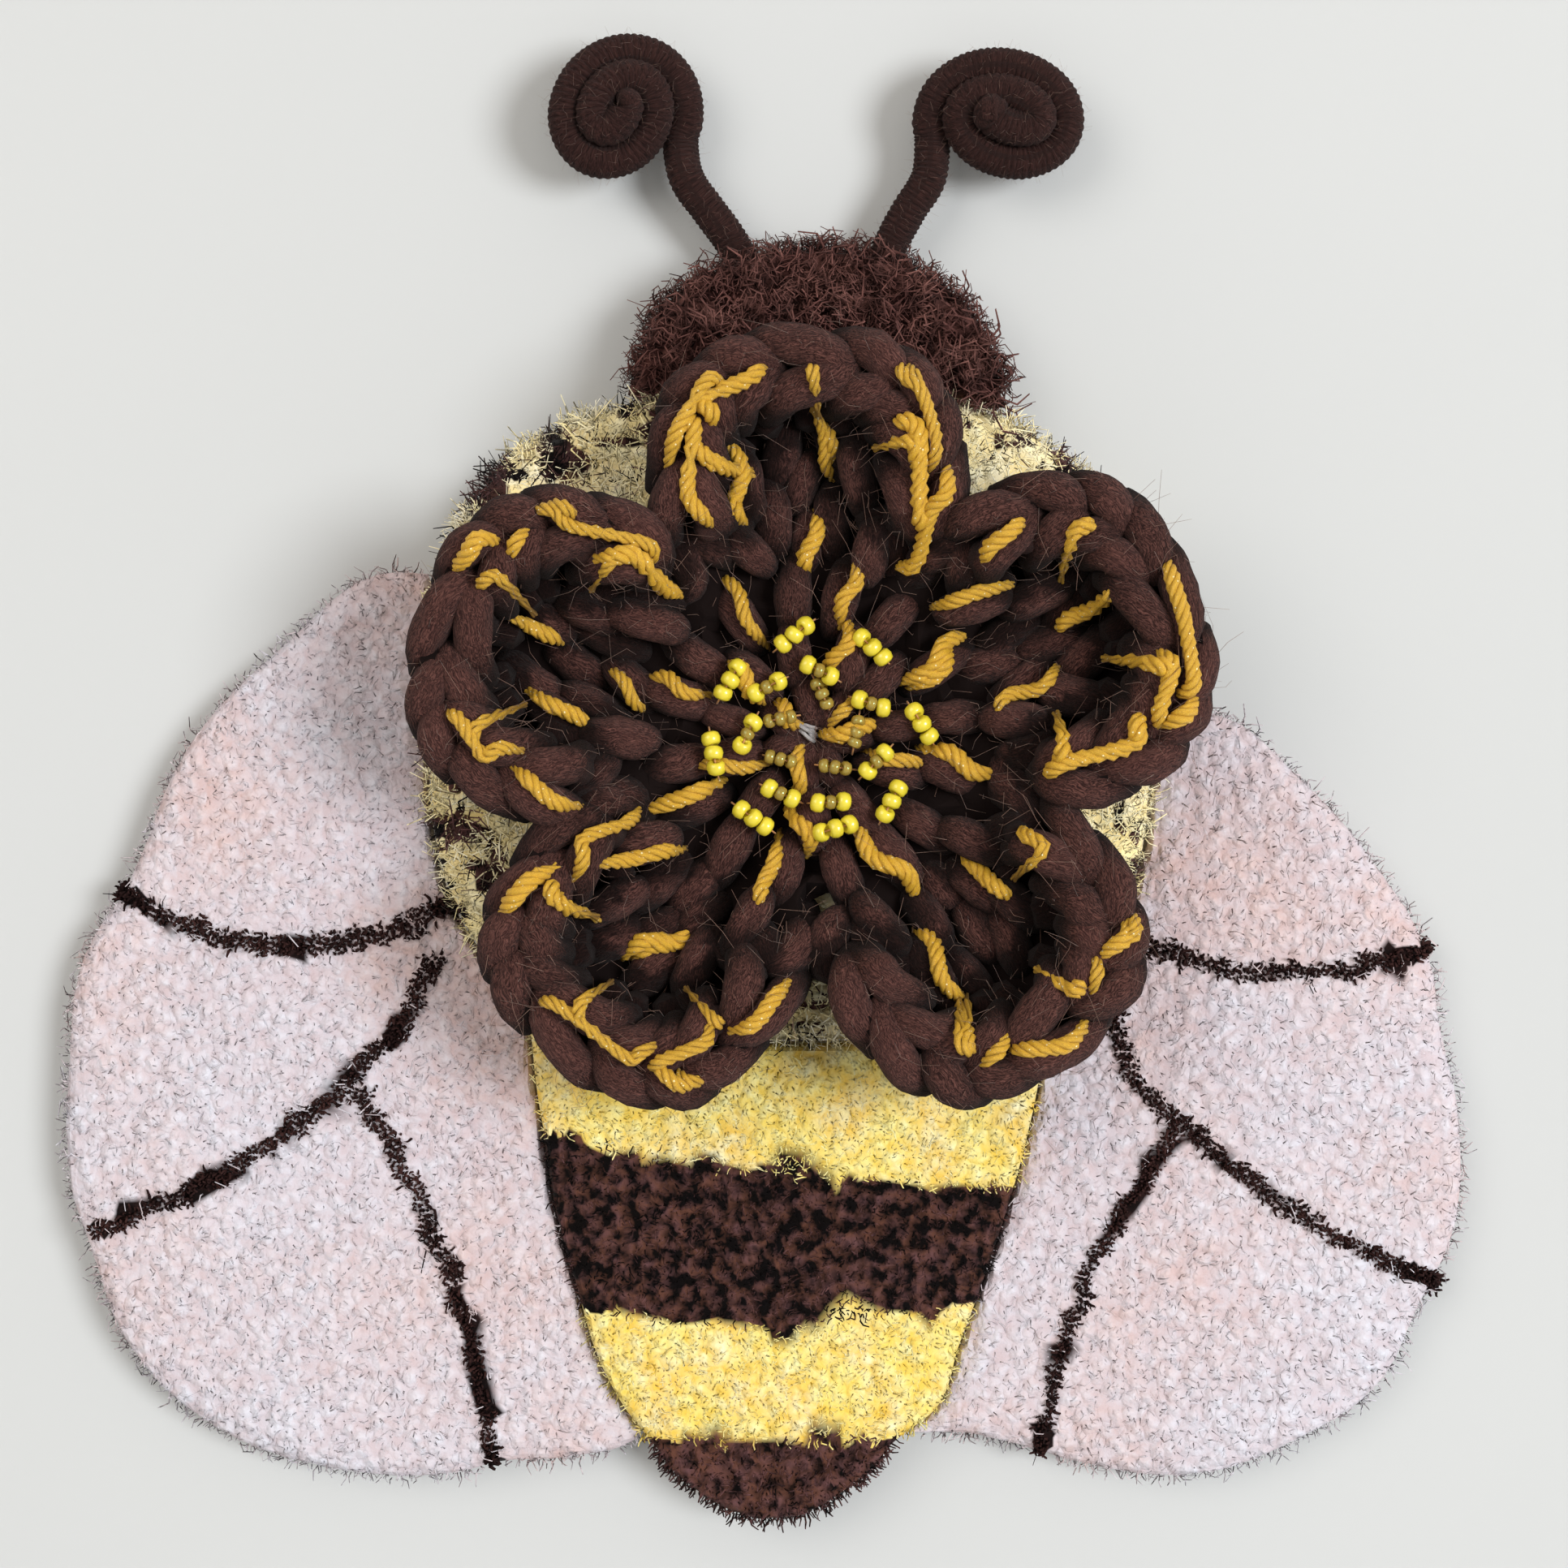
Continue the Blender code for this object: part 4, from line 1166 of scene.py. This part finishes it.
copperThread = yarnFinish("copperThread", {
    "dark": (0.40, 0.17, 0.06, 1), "mid": (0.50, 0.24, 0.09, 1), "light": (0.75, 0.42, 0.18, 1),
    "scale": 3.0, "bump": 0.2, "roughness": 0.4, "sheen": 0.1, "wander": 0.0,
})
rideRoot(thread.finish("bead_thread", copperThread))
greyThread = yarnFinish("greyThread", {
    "dark": (0.16, 0.15, 0.15, 1), "mid": (0.34, 0.32, 0.32, 1), "light": (0.62, 0.60, 0.60, 1),
    "scale": 3.0, "bump": 0.4, "roughness": 0.7, "sheen": 0.3, "wander": 0.4,
})
knot = YarnMesh()
chance = random.Random(61)
for turn in range(7):
    angle = 2 * math.pi * chance.random()
    across = Vector((math.cos(angle), 0.0, math.sin(angle)))
    middle = Vector((flowerSizes["x"] - 1.4 + chance.uniform(-1, 1), 0.0,
                     flowerSizes["z"] + 0.8 + chance.uniform(-1, 1)))
    middle.y = frontOf(middle.x, middle.z)
    loop = [middle - across * 1.9 + Vector((0, 0.8, 0)), middle - across * 0.8 + Vector((0, -0.7, 0)),
            middle + across * 0.7 + Vector((0, -0.8, 0.3)), middle + across * 1.9 + Vector((0, 0.9, 0))]
    run = catmull(loop, 3)
    knot.lay(run, [0.34] * len(run), 6, chance.random(), 0.4, lump=0.2)
rideRoot(knot.finish("middle_knot", greyThread))
print("beads sewn on")


antennaLook = {"radius": 2.95, "pitch": 4.9, "rise": 2.9, "turns": 2.3, "wrap": 0.92, "ridge": 0.17,
               "slant": 0.35, "sides": 20}
antennae = {
    "antenna_left": {
        "stem": ((-7.2, -5.5, -9.0), (-11.2, -5.8, -1.2), (-15.4, -6.2, 4.6), (-18.9, -6.6, 9.6)),
        "middle": (-30.2, -7.2, 20.0), "longRadius": 12.4, "shortRadius": 11.0, "turn": 1, "longAxis": 48.0,
        "tilt": 10.0, "fromAngle": -24.0,
    },
    "antenna_right": {
        "stem": ((12.4, -5.5, -9.5), (15.4, -5.8, -1.2), (18.4, -6.2, 4.4), (21.6, -6.6, 9.6)),
        "middle": (34.4, -7.2, 18.8), "longRadius": 12.9, "shortRadius": 10.5, "turn": -1, "longAxis": -8.0,
        "tilt": 10.0, "fromAngle": 198.0,
    },
}


def antennaPath(sizes):
    longAxis, tilt = math.radians(sizes["longAxis"]), math.radians(sizes["tilt"])
    along = Vector((math.cos(longAxis), 0.0, math.sin(longAxis)))
    across = Vector((-math.sin(longAxis) * math.cos(tilt), -math.sin(tilt),
                     math.cos(longAxis) * math.cos(tilt)))
    path = [Vector(p) for p in sizes["stem"]]
    steps = round(antennaLook["turns"] * 20)
    for step in range(steps + 1):
        turned = 2 * math.pi * antennaLook["turns"] * step / steps
        angle = math.radians(sizes["fromAngle"]) + sizes["turn"] * turned - longAxis
        inward = antennaLook["pitch"] * turned / (2 * math.pi)
        far = max(sizes["longRadius"] - inward, 1.2) * math.cos(angle)
        near = max(sizes["shortRadius"] - inward, 0.8) * math.sin(angle)
        forward = Vector((0.0, -antennaLook["rise"] * turned / (2 * math.pi), 0.0))
        path.append(Vector(sizes["middle"]) + along * far + across * near + forward)
    return path


def wrappedWire(name):
    # one tube whose surface carries the turns of yarn as slanted ridges, with painted shade in the grooves between
    # them
    path = catmull(antennaPath(antennae[name]), 6)
    lengths = [0.0]
    for a, b in zip(path, path[1:]):
        lengths.append(lengths[-1] + (b - a).length)
    step = antennaLook["wrap"] / 4
    count = int(lengths[-1] / step)
    rows, k = [], 0
    for n in range(count + 1):
        want = lengths[-1] * n / count
        while k < len(path) - 2 and lengths[k + 1] < want:
            k += 1
        t = (want - lengths[k]) / max(lengths[k + 1] - lengths[k], 1e-6)
        rows.append((path[k].lerp(path[k + 1], t), want))
    verts, faces, fibre, tint = [], [], [], []
    sides, normal = antennaLook["sides"], Vector((0, -1, 0))
    for n, (p, want) in enumerate(rows):
        way = (rows[min(n + 1, count)][0] - rows[max(n - 1, 0)][0]).normalized()
        normal = (normal - way * normal.dot(way)).normalized()
        other = way.cross(normal)
        closing = min(1.0, 0.35 + 0.65 * min(n, count - n) / 8)
        for side in range(sides):
            angle = 2 * math.pi * side / sides
            turns = want / antennaLook["wrap"] + antennaLook["slant"] * math.cos(angle)
            turns += 0.35 * noise.noise(Vector((want / 5.0, math.cos(angle), math.sin(angle))))
            ridge = abs(math.sin(math.pi * turns))
            radius = (antennaLook["radius"] - antennaLook["ridge"] + antennaLook["ridge"] * 1.6 * ridge) * closing
            radius *= 1.0 + 0.03 * noise.noise(Vector((want / 6.0, 3.0, 0.0)))
            verts.append((p + normal * (radius * math.cos(angle)) + other * (radius * math.sin(angle))) * mm)
            fibre.append((turns * 3.0, 6 * math.cos(angle / 2), 4.0))
            # painted shade: the tint is lowest in the grooves between turns, which darkens the colour there
            tint.append(ridge)
    for n in range(count):
        for side in range(sides):
            a, b = n * sides + side, n * sides + (side + 1) % sides
            faces.append((a, b, b + sides, a + sides))
    faces.append(tuple(reversed(range(sides))))
    faces.append(tuple(count * sides + side for side in range(sides)))
    made = newMesh(name + "_wrapped", verts, faces, {"fibre": fibre, "tint": tint})
    made.data.materials.append(wrapYarn)
    return rideRoot(made, (name,))


wires = [wrappedWire(name) for name in antennae]


hairShapes = tuftShapes("strayHair", {"seed": 25, "variants": 6, "strands": 2, "length": 3.4, "width": 0.035,
                                      "splay": 1.2, "bend": 0.6, "foot": 0.2, "rings": 3})


def addFuzz(obj, name, spacing, lean, finish, longest=1.5):
    # fine stray fibres on yarn, planted by the same tree
    bed = bpy.data.objects.new(name + "_bed", obj.data.copy())
    bpy.context.scene.collection.objects.link(bed)
    count = len(bed.data.vertices)
    for key in ("grow", "tall"):
        layer = bed.data.attributes.new(key, "FLOAT", "POINT").data
        layer.foreach_set("value", np.ones(count, dtype=np.float32))
    look = {"spacing": spacing, "lean": lean, "shortest": 0.4, "longest": longest, "seed": 14, "density": 3.0}
    made = grow(name, bed, look, hairShapes, finish)
    drop(bed)
    return rideRoot(made)


fuzzLook = pileFinish("brownFuzz", {
    "pale": (0.15, 0.085, 0.065, 1), "deep": (0.28, 0.17, 0.13, 1), "patchPale": (0.15, 0.085, 0.065, 1),
    "patchDeep": (0.28, 0.17, 0.13, 1), "patch": 90.0, "root": (1, 1, 1, 1), "sheen": 0.2,
    "clump": 300.0, "clumped": 0.0, "lumpy": 0.0, "soft": 0.0, **brown,
})


def strayHairs(name, runs, look, finish):
    # single fibres that leave a yarn almost along it and lift away
    chance = random.Random(look["seed"])
    verts, faces, rise, tint = [], [], [], []
    for _ in range(look["count"]):
        run, radius = runs[chance.randrange(len(runs))]
        k = chance.randrange(1, len(run) - 2)
        way = (run[k + 1] - run[k]).normalized() * chance.choice((-1, 1))
        side = way.orthogonal().normalized()
        angle = chance.uniform(0, 2 * math.pi)
        outward = side * math.cos(angle) + way.cross(side) * math.sin(angle)
        if outward.y > 0.35:
            outward = -outward
        heading = (way + outward * chance.uniform(*look["lift"])).normalized()
        bend = Vector([chance.uniform(-1, 1) * look["bend"] for _ in range(3)])
        strand((run[k] + outward * radius * 0.92) * mm, heading, chance.uniform(*look["length"]) * mm,
               look["width"] * mm, bend, 3, verts, faces, rise, chance.uniform(-0.3, 0.3))
        tint.extend([chance.random()] * (len(verts) - len(tint)))
    made = newMesh(name, verts, faces, {"rise": rise, "tint": tint})
    made.data.materials.append(finish)
    offWall(made)
    print(name, len(faces), "faces")
    return rideRoot(made)


strayHairs("flower_hairs", allRuns, {"seed": 71, "count": 3200, "lift": (0.1, 1.1), "length": (1.8, 5.5),
                                     "bend": 0.7, "width": 0.04}, fuzzLook)
for wire, name in zip(wires, antennae):
    addFuzz(wire, name + "_fuzz", 1.9, 1.4, fuzzLook, 0.5)

for group in list(tufts.children):
    for shape in list(group.objects):
        bpy.data.objects.remove(shape)
    bpy.data.collections.remove(group)
bpy.data.collections.remove(tufts)
print("fuzz added")


# metres; light that has come less than "near" passes the wall
room = {"wallGap": 0.0008, "half": 1.6, "floor": -0.62, "bend": 0.2, "bendRows": 8, "front": -1.8, "near": 0.003,
        "colour": (0.492, 0.508, 0.512, 1), "patch": (0.510, 0.525, 0.528, 1)}


def roomFinish():
    made, tree, shader, coords = newFinish("paleWall")
    mottle = noiseOf(tree, coords, 9.0, 3.0)["Fac"]
    fill(tree, shader, {"Base Color": mixColour(tree, mottle, room["colour"], room["patch"]), "Roughness": 0.9})
    # the wall is clear from behind, and to light that leaves the hanging's own back
    near = mathOf(tree, "LESS_THAN", put(tree, "ShaderNodeLightPath").outputs["Ray Length"], room["near"])
    passes = mathOf(tree, "MAXIMUM", put(tree, "ShaderNodeNewGeometry").outputs["Backfacing"], near)
    clear = put(tree, "ShaderNodeBsdfTransparent").outputs[0]
    solid = tree.nodes["Principled BSDF"].outputs[0]
    both = put(tree, "ShaderNodeMixShader", {0: passes, 1: solid, 2: clear})
    fill(tree, tree.nodes["Material Output"].inputs, {"Surface": both.outputs[0]})
    return made


# the wall's outline from its top down, round the bend and out along the floor, at both of its sides
outline = [(room["wallGap"], room["half"])]
for k in range(room["bendRows"] + 1):
    a = math.pi / 2 * k / room["bendRows"]
    outline.append((room["wallGap"] - room["bend"] * (1 - math.cos(a)),
                    room["floor"] + room["bend"] - room["bend"] * math.sin(a)))
outline.append((room["front"], room["floor"]))
wallVerts = [(x, y, z) for y, z in outline for x in (-room["half"], room["half"])]
wallFaces = [(2 * k, 2 * k + 2, 2 * k + 3, 2 * k + 1) for k in range(len(wallVerts) // 2 - 1)]
wall = newMesh("paleWall", wallVerts, wallFaces)
wall.data.materials.append(roomFinish())


def areaLight(name, place, target, size, power, colour):
    data = bpy.data.lights.new(name, "AREA")
    data.shape, data.size, data.energy, data.color = "DISK", size, power, colour
    made = bpy.data.objects.new(name, data)
    made.location = place
    made.rotation_euler = (Vector(target) - Vector(place)).to_track_quat("-Z", "Y").to_euler()
    bpy.context.scene.collection.objects.link(made)


areaLight("keyLight", (2.15, -2.55, 0.0), (0.0, 0.0, -0.09), 1.4, 98.0, (0.97, 0.985, 1.0))
areaLight("fillLight", (-1.1, -1.6, 0.6), (-0.05, 0.0, -0.05), 1.4, 14.0, (1.0, 0.95, 0.89))
areaLight("backLight", (0.3, 1.3, 0.5), (0.0, 0.0, -0.09), 1.2, 10.0, (1.0, 1.0, 1.0))
world = bpy.data.worlds.new("softRoom")
world.use_nodes = True
world.node_tree.nodes["Background"].inputs["Color"].default_value = (1.0, 0.93, 0.86, 1)
world.node_tree.nodes["Background"].inputs["Strength"].default_value = 0.68
bpy.context.scene.world = world
bpy.context.scene.view_settings.view_transform = "Standard"

lens = bpy.data.cameras.new("camera")
lens.sensor_width = 36.0
lens.lens = 36.0 * camera["distance"] / camera["viewWidth"]
lens.clip_start = 0.01
eye = bpy.data.objects.new("camera", lens)
eye.location = (camera["x"] * mm, -camera["distance"] * mm, camera["z"] * mm)
eye.rotation_euler = (math.pi / 2, 0.0, 0.0)
bpy.context.scene.collection.objects.link(eye)
bpy.context.scene.camera = eye
print("room and camera set")

bpy.context.view_layer.update()
